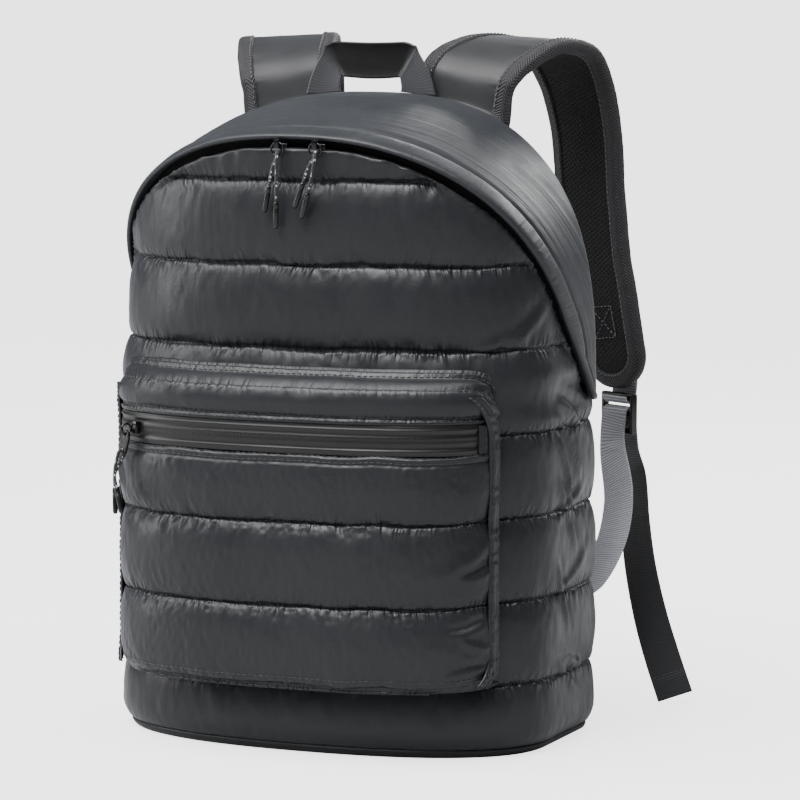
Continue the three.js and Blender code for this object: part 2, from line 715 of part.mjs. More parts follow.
// The strap's lower end is a half round.
const end_turns = [0, 0.25, 0.5, 0.7, 0.85, 0.95];
const strap_last = strap_steps.at(-1);
const end_down = strap_curve.getTangent(strap_last);
function strapLoop(t, half, down) {
  return pad_section.map(({ w, off }) => (
    strapPoint(t, w * half, off * strap_thick).addScaledVector(end_down, down)
  ));
}
const pad_end = pad_half(strap_last);
const pad_loops = [
  ...strap_steps.map((t) => strapLoop(t, pad_half(t), 0)),
  ...end_turns.slice(1).map((turn) => strapLoop(strap_last, pad_end * Math.sqrt(1 - turn ** 2), pad_end * turn * 0.8)),
];
const strap = onHood(loft(pad_loops));
add('shoulder_strap_right', strap, nylon);
add('shoulder_strap_left', mirrored(strap), nylon);

// Strap binding: one strip down the inner edge, round the end and up the outer edge
const binding_path = [];
for (const t of strap_steps) {
  binding_path.push({ t, side: -1, half: pad_half(t), down: 0, turn: 0 });
}
for (const angle of [-72, -54, -36, -18, 0, 18, 36, 54, 72]) {
  binding_path.push({ t: strap_last, side: 0, half: pad_end, down: pad_end * 0.8, turn: angle * Math.PI / 180 });
}
for (const t of strap_steps.slice().reverse()) {
  binding_path.push({ t, side: 1, half: pad_half(t), down: 0, turn: 0 });
}
const edge_section = [
  { out: 0, off: 0.5 }, { out: 0.7, off: 0.5 }, { out: 1, off: 0.2 }, { out: 1, off: -0.2 },
  { out: 0.7, off: -0.5 }, { out: 0, off: -0.5 },
];
const edge_loops = binding_path.map(({ t, side, half, down, turn }) => edge_section.map(({ out, off }) => {
  const reach = half + touch + out * strap_edge;
  if (side !== 0) {
    return strapPoint(t, side * reach, off * strap_edge_thick);
  }
  const across = Math.sin(turn) * reach;
  const below = Math.cos(turn) * (down + touch + out * strap_edge);
  return strapPoint(t, across, off * strap_edge_thick).addScaledVector(end_down, below);
}));
const strap_trim = onHood(loft(edge_loops));
add('strap_binding_right', strap_trim, grosgrain);
add('strap_binding_left', mirrored(strap_trim), grosgrain);

// Ladder lock below the strap's end, turned like the strap
const lock_place = vec(131.5, 179, 203);
const lock_across = vec(0.86, -0.5, 0).normalize();
const lock_face = lock_across.clone().cross(vec(0, 0, -1)).normalize();
const lockMatrix = new THREE.Matrix4().makeBasis(lock_across, vec(0, 0, -1), lock_face);
function boxShape(width, height) {
  const [x, y] = [width / 2, height / 2];
  return [[-x, -y], [x, -y], [x, y], [-x, y]].map(([a, b]) => new THREE.Vector2(a, b));
}
const lock_shape = new THREE.Shape(boxShape(lock_width, lock_height));
const slot_height = (lock_height - 3 * lock_bar) / 2;
const slot_shift = (slot_height + lock_bar) / 2;
for (const level of [-slot_shift, slot_shift]) {
  const slot = boxShape(web_width + 1.6, slot_height).map((p) => p.add(new THREE.Vector2(0, level)));
  lock_shape.holes.push(new THREE.Path(slot.reverse()));
}
const lock = new THREE.ExtrudeGeometry(lock_shape, { depth: lock_thick, bevelEnabled: false });
lock.translate(0, 0, -lock_thick / 2);
lock.applyMatrix4(lockMatrix);
lock.translate(...lock_place.toArray());
const lock_body = mergeVertices(lock.deleteAttribute('normal').deleteAttribute('uv'), 1e-4);
add('ladder_lock_right', lock_body, plastic);
add('ladder_lock_left', mirrored(lock_body), plastic);

// A flat strip of webbing along a route: its middle line, with the direction across it at each point.
function webStrip(route, width, thick, steps) {
  const line = new THREE.CatmullRomCurve3(route.map(({ at }) => vec(...at)), false, 'centripetal');
  const turn = new THREE.CatmullRomCurve3(route.map(({ out }) => vec(...out)), false, 'centripetal');
  const loops = steps.map((t) => {
    const middle = line.getPoint(t);
    const along = line.getTangent(t);
    const out = turn.getPoint(t);
    out.addScaledVector(along, -out.dot(along)).normalize();
    const face = out.clone().cross(along).normalize();
    return [[-1, 1], [1, 1], [1, -1], [-1, -1]].map(([w, f]) => (
      middle.clone().addScaledVector(out, w * width / 2).addScaledVector(face, f * thick / 2)
    ));
  });
  return loft(loops);
}
const evenSteps = (count) => Array.from({ length: count + 1 }, (_, k) => k / count);
const across = lock_across.toArray();
// A point beside the lock: up from its middle, and out from its face
const atLock = (up, out) => lock_place.clone().add(vec(0, 0, up)).addScaledVector(lock_face, out).toArray();

// Loop of webbing that ties the lock to the strap's end, round the lock's top bar
const top_bar = lock_height / 2 - lock_bar / 2;
const bar_turn = Math.hypot(lock_bar / 2, lock_thick / 2) + web_thick / 2 + touch;
function barTurn(level, from, to, count) {
  return Array.from({ length: count + 1 }, (_, k) => {
    const angle = mix(from, to, k / count) * Math.PI / 180;
    return { at: atLock(level + bar_turn * Math.sin(angle), bar_turn * Math.cos(angle)), out: across };
  });
}
const loop_top = 236 - lock_place.z;
const loop_face = strap_thick / 2 + web_thick / 2 + touch;
const web_loop = webStrip([
  { at: atLock(loop_top + 6, loop_face + 0.3), out: across },
  { at: atLock(loop_top - 8, loop_face + 0.1), out: across },
  ...barTurn(top_bar, 0, -180, 6),
], web_width, web_thick, evenSteps(20));
add('lock_loop_right', web_loop, webbing);
add('lock_loop_left', mirrored(web_loop), webbing);

// Adjuster webbing: sewn low on the back, up to the lock, round its middle bar and down as a loose tail
const anchor = { x: 128, z: 74, height: 24, width: 32, thick: 2.6 };
const web_route = [
  { at: [anchor.x, back_depth + seat + web_thick / 2, anchor.z + touch + 0.1], out: [1, 0, 0] },
  { at: [anchor.x, back_depth + seat + web_thick / 2 + 0.8, anchor.z + 6], out: [1, 0, 0] },
  { at: [anchor.x + 4, back_depth + 7, anchor.z + 14], out: [1, -0.1, 0] },
  { at: [139, 100, 96], out: [0.97, -0.24, 0] },
  { at: [145, 124, 118], out: [0.93, -0.36, 0] },
  { at: [141, 152, 147], out: [0.89, -0.45, 0] },
  { at: atLock(-lock_height / 2 - 8, -6), out: across },
  ...barTurn(0, 180, 0, 6),
  { at: atLock(-lock_height / 2 - 10, 7), out: across },
  { at: [139, 187, 160], out: [0.9, -0.43, 0] },
  { at: [143, 182, 128], out: [0.94, -0.34, 0] },
  { at: [148, 178, 98], out: [0.98, -0.2, 0] },
  { at: [156, 178, 62], out: [1, 0, 0.03] },
  { at: [165, 179, 32], out: [0.98, 0.2, 0.02] },
  { at: [174, 180, 6], out: [0.95, 0.3, 0] },
];
const adjuster = webStrip(web_route, web_width, web_thick, evenSteps(web_steps));
add('adjuster_web_right', adjuster, webbing);
add('adjuster_web_left', mirrored(adjuster), webbing);
const anchor_tab = new THREE.BoxGeometry(anchor.width, anchor.thick, anchor.height);
anchor_tab.translate(anchor.x, back_depth + touch + 0.1 + anchor.thick / 2, anchor.z - anchor.height / 2);
add('web_anchor_right', anchor_tab, dark_nylon);
add('web_anchor_left', mirrored(mergeVertices(
  anchor_tab.clone().deleteAttribute('normal').deleteAttribute('uv'), 1e-4,
)), dark_nylon);

// A round cord along a hand-made route
const cord_step = 4;
function cordBody(route) {
  const line = new THREE.CatmullRomCurve3(route.map((p) => vec(...p)), false, 'centripetal');
  const section = new THREE.Shape(Array.from({ length: 8 }, (_, k) => (
    new THREE.Vector2(cord_radius * Math.cos(k * Math.PI / 4), cord_radius * Math.sin(k * Math.PI / 4))
  )));
  const steps = Math.round(line.getLength() / (cord_step * cord_radius));
  return new THREE.ExtrudeGeometry(section, { steps, extrudePath: line, bevelEnabled: false });
}
// A moulded tip on a cord's end: it points away from the cord's last stretch.
function cordTip(from, to, length) {
  const profile = [[0, 0], [tip_radius * 0.8, 0], [tip_radius, 1.5], [tip_radius, length - 1], [tip_radius * 0.7, length],
    [0, length]];
  const tip = new THREE.LatheGeometry(profile.map(([r, h]) => new THREE.Vector2(r, h)), tip_sides);
  const down = vec(...to).sub(vec(...from)).normalize();
  const turn = new THREE.Matrix4().makeRotationFromQuaternion(
    new THREE.Quaternion().setFromUnitVectors(vec(0, 1, 0), down),
  );
  tip.applyMatrix4(turn);
  const start = vec(...to).addScaledVector(down, touch);
  tip.translate(start.x, start.y, start.z);
  return tip;
}

// Main zip sliders: a body on the tape, an arm out under the flap and an eye that holds the ring
const ring_y = -front_depth - 3.5;
const ring_z = 394.5;
// From the ring back to the tape that the slider runs on
const slider_reach = 12.9;
function block(x, low, high) {
  const size = vec(...high).sub(vec(...low));
  const box = new THREE.BoxGeometry(size.x, size.y, size.z);
  const centre = vec(...low).add(vec(...high)).multiplyScalar(0.5);
  box.translate(x + centre.x, centre.y, centre.z);
  return solidOf(box);
}
function mainSlider(x) {
  const arm_top = ring_z + ring_radius - ring_wire - 1.1;
  const fat_ring = new THREE.TorusGeometry(ring_radius, ring_wire + touch + 0.05, 6, 16);
  fat_ring.applyMatrix4(new THREE.Matrix4().makeRotationX(Math.PI / 2));
  fat_ring.translate(x, ring_y, ring_z);
  const body = block(x, [-4, ring_y + 6.5, ring_z - 0.6], [4, ring_y + slider_reach, ring_z + 3.4]);
  const arm = block(x, [-1.6, ring_y - 1.9, ring_z + 0.6], [1.6, ring_y + 7, arm_top]);
  const eye = block(x, [-1.6, ring_y - 1.9, ring_z + 0.6], [1.6, ring_y + 1.9, ring_z + ring_radius + 2]);
  return geometryOf(body.add(arm).add(eye).subtract(solidOf(fat_ring)));
}
const main_pulls = [
  { side: 'left', x: -5.5,
    cord: [[-11.6, -92.8, 371], [-9.6, -92.4, 382], [-7.2, -91.2, 389], [-5.5, -92.2, 392.6], [-4.9, -94.8, 392.6],
      [-4.9, -96, 389], [-5.6, -95, 378], [-6.3, -93.8, 361]] },
  { side: 'right', x: 21,
    cord: [[12.4, -92.8, 373.6], [15.6, -92.4, 382.6], [19.2, -91.2, 389], [21, -92.2, 392.6], [21.6, -94.8, 392.6],
      [21.6, -96, 389], [19.6, -95, 379], [15.9, -93.8, 367]] },
];
for (const { side, x, cord } of main_pulls) {
  add(`main_zip_slider_${side}`, mainSlider(x), black_metal);
  const ring = new THREE.TorusGeometry(ring_radius, ring_wire, 6, 14);
  ring.applyMatrix4(new THREE.Matrix4().makeRotationX(Math.PI / 2));
  ring.translate(x, ring_y, ring_z);
  add(`main_pull_ring_${side}`, ring, black_metal);
  add(`main_pull_cord_${side}`, cordBody(cord), cord_cover);
  add(`main_pull_tip_${side}_a`, cordTip(cord[1], cord[0], tip_length), plastic);
  add(`main_pull_tip_${side}_b`, cordTip(cord.at(-2), cord.at(-1), tip_length), plastic);
}

// Pocket slider: a body on the tape with a round bail
const pocket_slider_u = -0.545;
const slider_at = pocketPoint(pocket_slider_u, (pocket_zip_low + pocket_zip_high) / 2, 0);
const slider_next = pocketPoint(pocket_slider_u + 0.02, slider_at.z, 0);
const slide_along = slider_next.clone().sub(slider_at).normalize();
const slide_out = slide_along.clone().cross(vec(0, 0, 1)).normalize();
const slide_matrix = new THREE.Matrix4().makeBasis(slide_along, vec(0, 0, 1), slide_out);
function onSlider(geometry) {
  geometry.applyMatrix4(slide_matrix);
  geometry.translate(slider_at.x, slider_at.y, slider_at.z);
  return geometry;
}
const slider_thick = 3.6;
const bail_radius = 3.6;
const bail_wire = 0.8;
const bail_low = -4.6;
const bail_out = 1.4;
const slider_block = new THREE.BoxGeometry(11, 8, slider_thick);
slider_block.translate(0, 0, slider_thick / 2 - tape_set_back + touch + 0.1);
const bail = new THREE.TorusGeometry(bail_radius, bail_wire, 6, 12);
bail.applyMatrix4(new THREE.Matrix4().makeRotationY(Math.PI / 2));
bail.translate(0, bail_low + bail_radius, bail_radius + bail_out);
add('pocket_zip_slider', onSlider(geometryOf(solidOf(slider_block).add(solidOf(bail)))), black_metal);

// Pull tab: a pill with a hole at each end, hung on the bail and swung a little to one side
const tab = { width: 8.5, length: 18, thick: 1.8, out: 4.1, hole: 1.35, cord_hole: 1.8, swing: -22 };
const tab_shape = new THREE.Shape();
const tab_round = tab.width / 2;
const tab_top = tab.hole + 1.7;
tab_shape.absarc(0, tab_top - tab_round, tab_round, 0, Math.PI);
tab_shape.absarc(0, tab_top - tab.length + tab_round, tab_round, Math.PI, 2 * Math.PI);
const cord_hole_up = tab_top - tab.length + 3.6;
for (const [up, radius] of [[0, tab.hole], [cord_hole_up, tab.cord_hole]]) {
  const hole = new THREE.Path();
  hole.absarc(0, up, radius, 0, 2 * Math.PI, true);
  tab_shape.holes.push(hole);
}
const tab_body = new THREE.ExtrudeGeometry(tab_shape, { depth: tab.thick, bevelEnabled: false, curveSegments: 6 });
tab_body.applyMatrix4(new THREE.Matrix4().makeRotationZ(tab.swing * Math.PI / 180));
tab_body.translate(0, bail_low, tab.out);
add('pocket_pull_tab', onSlider(tab_body), plastic);

// Doubled cord through the tab: places are mm along the tape, up and out from the slider's middle
const pocket_cord = [[-9.5, -40, 8], [-10.5, -33, 7.5], [-9.2, -26, 5.5], [-6.6, -20.5, 3.6], [-5, -17, 2.6],
  [-4.4, -15.3, 3.9], [-4.2, -15, 6.4], [-4.4, -16.8, 8.2], [-5, -20.5, 9], [-6, -27, 10],
  [-5.8, -33, 10.4], [-4, -39, 10.2]];
const pocket_cord_line = pocket_cord.map(([along, up, out]) => slider_at.clone().addScaledVector(slide_along, along)
  .addScaledVector(slide_out, out).add(vec(0, 0, up)).toArray());
add('pocket_pull_cord', cordBody(pocket_cord_line), cord_cover);
add('pocket_pull_tip_a', cordTip(pocket_cord_line[1], pocket_cord_line[0], tip_length), plastic);
add('pocket_pull_tip_b', cordTip(pocket_cord_line.at(-2), pocket_cord_line.at(-1), tip_length), plastic);

backpack.updateMatrixWorld(true);
export default backpack;
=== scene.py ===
"""Quilted puffer backpack: its finished cloth, webbing, pulls, light and camera, laid out as an add-on."""
import math

import bmesh
import bpy
import numpy as np
from bpy.props import FloatProperty, FloatVectorProperty, IntProperty, PointerProperty
from mathutils import Matrix, Vector


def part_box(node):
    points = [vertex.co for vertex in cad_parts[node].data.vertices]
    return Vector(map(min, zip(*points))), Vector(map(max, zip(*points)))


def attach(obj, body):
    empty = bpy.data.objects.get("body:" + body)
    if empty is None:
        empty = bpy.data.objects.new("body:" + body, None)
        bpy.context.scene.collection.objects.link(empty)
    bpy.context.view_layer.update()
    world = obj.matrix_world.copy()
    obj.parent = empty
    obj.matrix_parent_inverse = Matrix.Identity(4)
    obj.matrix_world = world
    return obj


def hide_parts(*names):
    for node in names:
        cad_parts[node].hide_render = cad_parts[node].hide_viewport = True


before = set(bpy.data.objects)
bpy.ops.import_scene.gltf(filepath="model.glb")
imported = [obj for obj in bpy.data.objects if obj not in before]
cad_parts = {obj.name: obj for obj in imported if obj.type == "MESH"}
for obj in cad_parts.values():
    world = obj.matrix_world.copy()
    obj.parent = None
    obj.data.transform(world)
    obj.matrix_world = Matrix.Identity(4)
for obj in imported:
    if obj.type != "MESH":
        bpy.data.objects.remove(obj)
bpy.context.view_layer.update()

bl_info = {
    "name": "Quilted Puffer Backpack",
    "version": (1, 0, 0),
    "blender": (4, 5, 0),
    "location": "View3D > Sidebar > Backpack",
    "description": "Builds a quilted puffer backpack round its packed frame",
    "category": "Object",
}

MM = 0.001

# Sizes in mm. The overall ones come from the frame, and the shape's own numbers are the solids' ones.


def edge(node, end, axis):
    """One side of a node's box, in mm: end is 0 for low and 1 for high, axis is 0, 1 or 2."""
    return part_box(node)[end][axis] / MM


TOUCH = 0.3
SEAT = 0.7
MIRROR = np.array([-1.0, 1, 1])
HALF_WIDTH = edge("quilted_body", 1, 0)
FRONT_DEPTH = -edge("quilted_body", 0, 1)
BACK_DEPTH = edge("back_panel", 1, 1)
BASE_THICK = edge("base_panel", 1, 2)
FRONT_ROUND = 2.35
BACK_CORNER = 12
BACK_LEAN = 20
LEAN_START = 120
ARCH_START = 250
ARCH_TOP = 427
ARCH_POWER = 2.65
LIP_HEIGHT = 294.6
LIP_SLOPE = 1.2
LIP_HALF_WIDTH = 153
LIP_CENTRE = 10
LIP_ROUND = 2.3
LIP_END = 58
SEAM_FIRST = 48
SEAM_STEP = 54.33
SEAM_COUNT = 7
PANEL_TOP = 403
PANEL_ARCH_START = 238
LIP_GAP = 1.5
PANEL_DROP = 6
PANEL_TUCK = 1.08
TUCK_START = 212
TUCK_RISE = 60
BASE_ROUND = 20
FLAP_WIDTH = 19
POCKET_HALF_WIDTH = edge("pocket_panel", 1, 0)
POCKET_FRONT = -edge("pocket_panel", 0, 1)
POCKET_SIDE = 54.5
POCKET_SQUARE = 2.6
POCKET_ROUND = 2.2
POCKET_BOTTOM = edge("pocket_panel", 0, 2)
POCKET_ZIP_LOW = 201
POCKET_ZIP_HIGH = 221
POCKET_EDGE_TOP = 243
POCKET_BACK_TOP = 255
POCKET_CORNER_DROP = 13
WEB_WIDTH = 25
WEB_THICK = 1.8
PLAN_FRONT = 0.66
PLAN_SIDE = 0.88
ARCH_SHARE = 0.85
LIP_SHARE = 0.78
HOOD_BULGE = 1.6
HOOD_FOOT = LIP_HEIGHT - LIP_SLOPE * LIP_END
BODY_SEAMS = SEAM_FIRST + SEAM_STEP * np.arange(SEAM_COUNT)
BAG_MIDDLE = np.array([0, BACK_DEPTH, 150])


# Small mathematics


def smooth(t):
    """The S curve 3t^2 - 2t^3, held at 0 and 1 outside."""
    t = np.clip(t, 0, 1)
    return t * t * (3 - 2 * t)


def unit(v):
    """Vectors divided by their lengths."""
    return v / np.maximum(np.linalg.norm(v, axis=-1, keepdims=True), 1e-9)


def noise(u, v, size_u, size_v, seed):
    """Smooth hills: random heights on a lattice of the given cell sizes, blended by an S curve."""
    table = np.random.default_rng(seed).uniform(-1, 1, (256, 256))
    u, v = np.broadcast_arrays(np.asarray(u, float) / size_u, np.asarray(v, float) / size_v)
    i, j = np.floor(u).astype(int), np.floor(v).astype(int)
    a, b = smooth(u - i), smooth(v - j)
    i, j = i % 256, j % 256
    k, m = (i + 1) % 256, (j + 1) % 256
    low = table[i, j] * (1 - a) + table[k, j] * a
    high = table[i, m] * (1 - a) + table[k, m] * a
    return low * (1 - b) + high * b


def bowed(size, share, power):
    """A superellipse's height: size at share 0, falling to 0 at share 1 or -1."""
    return size * (1 - np.abs(share) ** power) ** (1 / power)


def normals(grid):
    """Unit normals of a grid of points: the cross product of its columns' and its rows' directions.

    The bag's grids run from its right to its left and from the foot up, so that their normals point out.
    """
    return unit(np.cross(np.gradient(grid, axis=1), np.gradient(grid, axis=0)))


def lengths(points):
    """Distance along an open line, at each of its points."""
    steps = np.linalg.norm(np.diff(points, axis=0), axis=1)
    return np.concatenate([[0], np.cumsum(steps)])


def sampled(points, length, where):
    """Points of a line at distances where along it."""
    return np.stack([np.interp(where, length, p) for p in points.T], 1)


def spaced(points, count):
    """The same open line with count points at equal steps of length."""
    length = lengths(points)
    return sampled(points, length, np.linspace(0, length[-1], count))


def curve(points, t):
    """A centripetal Catmull-Rom curve through the points at shares t from 0 to 1."""
    points = np.asarray(points, float)
    last = len(points) - 1
    place = np.clip(np.asarray(t, float), 0, 1) * last
    k = np.minimum(np.floor(place).astype(int), last - 1)
    w = (place - k)[:, None]
    padded = np.concatenate([2 * points[:1] - points[1:2], points, 2 * points[-1:] - points[-2:-1]])
    p0, p1, p2, p3 = (padded[k + n] for n in range(4))
    d0, d1, d2 = (np.maximum(np.linalg.norm(b - a, axis=1, keepdims=True), 1e-6) ** 0.5
                  for a, b in ((p0, p1), (p1, p2), (p2, p3)))
    m1 = d1 * ((p1 - p0) / d0 - (p2 - p0) / (d0 + d1) + (p2 - p1) / d1)
    m2 = d1 * ((p2 - p1) / d1 - (p3 - p1) / (d1 + d2) + (p3 - p2) / d2)
    return p1 + m1 * w + (3 * (p2 - p1) - 2 * m1 - m2) * w ** 2 + (2 * (p1 - p2) + m1 + m2) * w ** 3


# Meshes


def surface(name, grid, wrap=False, caps=False, keep=None, away=None, flat_uv=None):
    """Quads between neighbours of a grid of points in mm, turned to face out, with a UV map in mm.

    wrap joins the last column to the first, caps closes the two ends of such a tube, keep says which quads
    stay, and away is a point in mm that an open sheet faces away from.
    """
    rows, cols = grid.shape[:2]
    ids = np.arange(rows * cols).reshape(rows, cols)
    ring = np.concatenate([grid, grid[:, :1]], 1) if wrap else grid
    if flat_uv is None:
        u = np.concatenate([[0], np.cumsum(np.linalg.norm(np.diff(ring, axis=1), axis=2).mean(0))])
        v = np.concatenate([[0], np.cumsum(np.linalg.norm(np.diff(ring, axis=0), axis=2).mean(1))])
        flat_uv = np.stack(np.meshgrid(u - u[-1] / 2, v), -1)
    if wrap:
        ids = np.concatenate([ids, ids[:, :1]], 1)
    corners = lambda a: np.stack([a[:-1, :-1], a[:-1, 1:], a[1:, 1:], a[1:, :-1]], 2)
    quads = corners(ids)
    maps = corners(flat_uv)
    if keep is not None:
        quads, maps = quads[keep], maps[keep]
    quads, maps = quads.reshape(-1, 4), maps.reshape(-1, 4, 2)
    points = grid.reshape(-1, 3)
    p = points[quads]
    face = np.cross(p[:, 2] - p[:, 0], p[:, 3] - p[:, 1])
    origin = points.mean(0) if away is None else np.asarray(away, float)
    if (face * (p.mean(1) - origin)).sum() < 0:
        quads, maps = quads[:, ::-1], maps[:, ::-1]
    faces = quads.tolist()
    uvs = maps.reshape(-1, 2)
    if caps:
        first = quads[0].tolist()
        turned = first.index(int(ids[0, 1])) - first.index(int(ids[0, 0])) in (1, -3)
        for row, forward in ((0, not turned), (rows - 1, turned)):
            order = np.arange(cols) if forward else np.arange(cols)[::-1]
            faces.append(ids[row, order].tolist())
            uvs = np.concatenate([uvs, flat_uv[row, order]])
    used, compact = np.unique(np.concatenate([np.asarray(f) for f in faces]), return_inverse=True)
    starts = np.cumsum([0] + [len(f) for f in faces])
    faces = [compact[a:b].tolist() for a, b in zip(starts[:-1], starts[1:])]
    mesh = bpy.data.meshes.new(name)
    mesh.from_pydata((points[used] * MM).tolist(), [], faces)
    layer = mesh.uv_layers.new(name="cloth")
    layer.data.foreach_set("uv", uvs.astype(np.float32).ravel())
    mesh.shade_smooth()
    obj = bpy.data.objects.new(name, mesh)
    bpy.context.scene.collection.objects.link(obj)
    return obj


def mirrored(name, obj):
    """A copy of a piece reflected in the plane X = 0, with its faces turned back out."""
    mesh = obj.data.copy()
    mesh.transform(Matrix.Scale(-1, 4, (1, 0, 0)))
    mesh.flip_normals()
    copy = bpy.data.objects.new(name, mesh)
    bpy.context.scene.collection.objects.link(copy)
    for old in obj.modifiers:
        if old.type == "SOLIDIFY":
            shell(copy, old.thickness / MM)
    return copy


def shell(obj, thick):
    """Gives an open sheet a wall of that thickness in mm, inwards."""
    wall = obj.modifiers.new("wall", "SOLIDIFY")
    wall.thickness = thick * MM
    wall.offset = -1
    return obj


def sweep(path, across, face, section):
    """A section carried along a path: point = path + first * across + second * face."""
    first, second = section[..., 0], section[..., 1]
    if section.ndim == 2:
        first, second = first[None], second[None]
    return path[:, None] + first[..., None] * across[:, None] + second[..., None] * face[:, None]


def round_box(half_x, half_y, corner, steps=4):
    """A rounded rectangle's outline, anticlockwise: quarter circles at the four corners."""
    angles = np.linspace(0, np.pi / 2, steps + 1)
    parts = []
    for k, (x, y) in enumerate(((1, 1), (-1, 1), (-1, -1), (1, -1))):
        turn = angles + k * np.pi / 2
        parts.append(np.stack([x * (half_x - corner) + corner * np.cos(turn),
                               y * (half_y - corner) + corner * np.sin(turn)], 1))
    return np.concatenate(parts)


def dress(obj, material, slot, *nodes):
    """Gives a piece its finish and body, and lets it stand for CAD nodes. slot is not used."""
    obj.data.materials.clear()
    obj.data.materials.append(material)
    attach(obj, "root")
    if nodes:
        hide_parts(*nodes)
    return obj


# Cloth that is blown up between its seams


CLOTH_SETTINGS = {
    "quality": 4, "mass": 0.15, "tension_stiffness": 30, "compression_stiffness": 30, "shear_stiffness": 12,
    "bending_stiffness": 0.02, "tension_damping": 8, "compression_damping": 8, "shear_damping": 8,
    "air_damping": 4, "vertex_group_mass": "sewn", "use_pressure": True, "uniform_pressure_force": 5.0,
}
CLOTH_FRAMES = 14


def puffed(grid, sewn, growth, cap, seed):
    """Filled cloth on a grid in mm: sewn points stay, threads grow, and no point moves past cap."""
    rows, cols = grid.shape[:2]
    shake = np.random.default_rng(seed).normal(0, 0.12, (rows, cols, 1)) * (1 - sewn[..., None])
    start = grid + normals(grid) * shake
    sheet = surface("cloth_at_work", start, away=BAG_MIDDLE)
    group = sheet.vertex_groups.new(name="sewn")
    group.add(np.nonzero(sewn.ravel())[0].tolist(), 1.0, "REPLACE")
    cloth = sheet.modifiers.new("cloth", "CLOTH")
    for name, value in CLOTH_SETTINGS.items():
        setattr(cloth.settings, name, value)
    cloth.settings.shrink_min = -growth
    cloth.settings.effector_weights.gravity = 0
    cloth.collision_settings.use_collision = False
    cloth.collision_settings.use_self_collision = False
    cloth.point_cache.frame_start = 1
    cloth.point_cache.frame_end = CLOTH_FRAMES
    scene = bpy.context.scene
    for number in range(1, CLOTH_FRAMES + 1):
        scene.frame_set(number)
    shape = sheet.evaluated_get(bpy.context.evaluated_depsgraph_get()).data
    moved = np.empty(len(shape.vertices) * 3, np.float32)
    shape.vertices.foreach_get("co", moved)
    scene.frame_set(1)
    bpy.data.objects.remove(sheet)
    shift = moved.reshape(grid.shape) / MM - grid
    far = np.linalg.norm(shift, axis=2, keepdims=True)
    return grid + shift * np.minimum(1, cap / np.maximum(far, 1e-6))


def finer(grid, rows, cols):
    """The grid resampled by Catmull-Rom curves, first down its columns and then along its rows."""
    def along(a, count):
        last = len(a) - 1
        place = np.linspace(0, last, count)
        k = np.minimum(place.astype(int), last - 1)
        w = (place - k).reshape(-1, *[1] * (a.ndim - 1))
        whole = np.concatenate([2 * a[:1] - a[1:2], a, 2 * a[-1:] - a[-2:-1]])
        p0, p1, p2, p3 = (whole[k + n] for n in range(4))
        return 0.5 * (2 * p1 + (p2 - p0) * w + (2 * p0 - 5 * p1 + 4 * p2 - p3) * w ** 2
                      + (3 * p1 - p0 - 3 * p2 + p3) * w ** 3)
    return np.swapaxes(along(np.swapaxes(along(grid, rows), 0, 1), cols), 0, 1)


def puckers(u, away, reach, size, seed):
    """Small gathers out from a seam: ridges along its length u that die away over reach mm from it."""
    strong = 0.35 + 0.65 * smooth(0.5 + noise(u, 0 * u, 9 * size, 10, seed + 1))
    longer = reach * (0.55 + 0.9 * smooth(0.5 + 0.5 * noise(u, 0 * u, 1.3 * size, 10, seed + 2)))
    ridge = noise(u + 0.25 * away, away, size, 3.5 * reach, seed)
    ridge = ridge + 0.5 * noise(u, away, 0.55 * size, 2 * reach, seed + 3)
    return strong * ridge * np.exp(-(away / longer) ** 1.5) * smooth(away / 1.2)


FAR = 99


def seam_puckers(u, v, levels, strengths, reach, size, seed):
    """Gathers on both sides of every sewn level of v, each level with its own strength."""
    height = 0
    for k, (level, strength) in enumerate(zip(levels, strengths)):
        for way in (-1, 1):
            away = way * (v - level)
            away = np.where(away < 0, FAR, away)
            height = height + strength * puckers(u, away, reach, size, seed + 7 * k + way)
    return height


def pillow(away, half):
    """How far a puffed band falls near its seam: 1 in the seam, 0 at mid band, and steep beside the seam."""
    return 1 - (1 - (1 - np.clip(away / half, 0, 1)) ** 2.4) ** 0.5


def folded(grid, u, v, folds):
    """Adds folds: each a ridge or groove along a line in (u, v), with a bell-shaped section and soft ends."""
    height = np.zeros(grid.shape[:2])
    for fold in folds:
        start, end = np.array(fold["start"], float), np.array(fold["end"], float)
        run = end - start
        length = np.linalg.norm(run)
        share = ((u - start[0]) * run[0] + (v - start[1]) * run[1]) / length ** 2
        bend = fold["bow"] * np.sin(np.pi * np.clip(share, 0, 1))
        off = ((u - start[0]) * -run[1] + (v - start[1]) * run[0]) / length - bend
        ends = smooth(share / 0.25) * smooth((1 - share) / 0.4)
        off = off / fold["width"]
        bell = np.exp(-off ** 2) - 0.45 * np.exp(-(off - 1.9) ** 2)
        height += fold["rise"] * ends * bell
    return grid + 1.5 * normals(grid) * height[..., None]


# Shapes of the bag


def back_at(z):
    """The back face's distance from the middle line: it leans forward towards the top."""
    return BACK_DEPTH - BACK_LEAN * np.clip((z - LEAN_START) / (ARCH_TOP - LEAN_START), 0, 1) ** 1.5


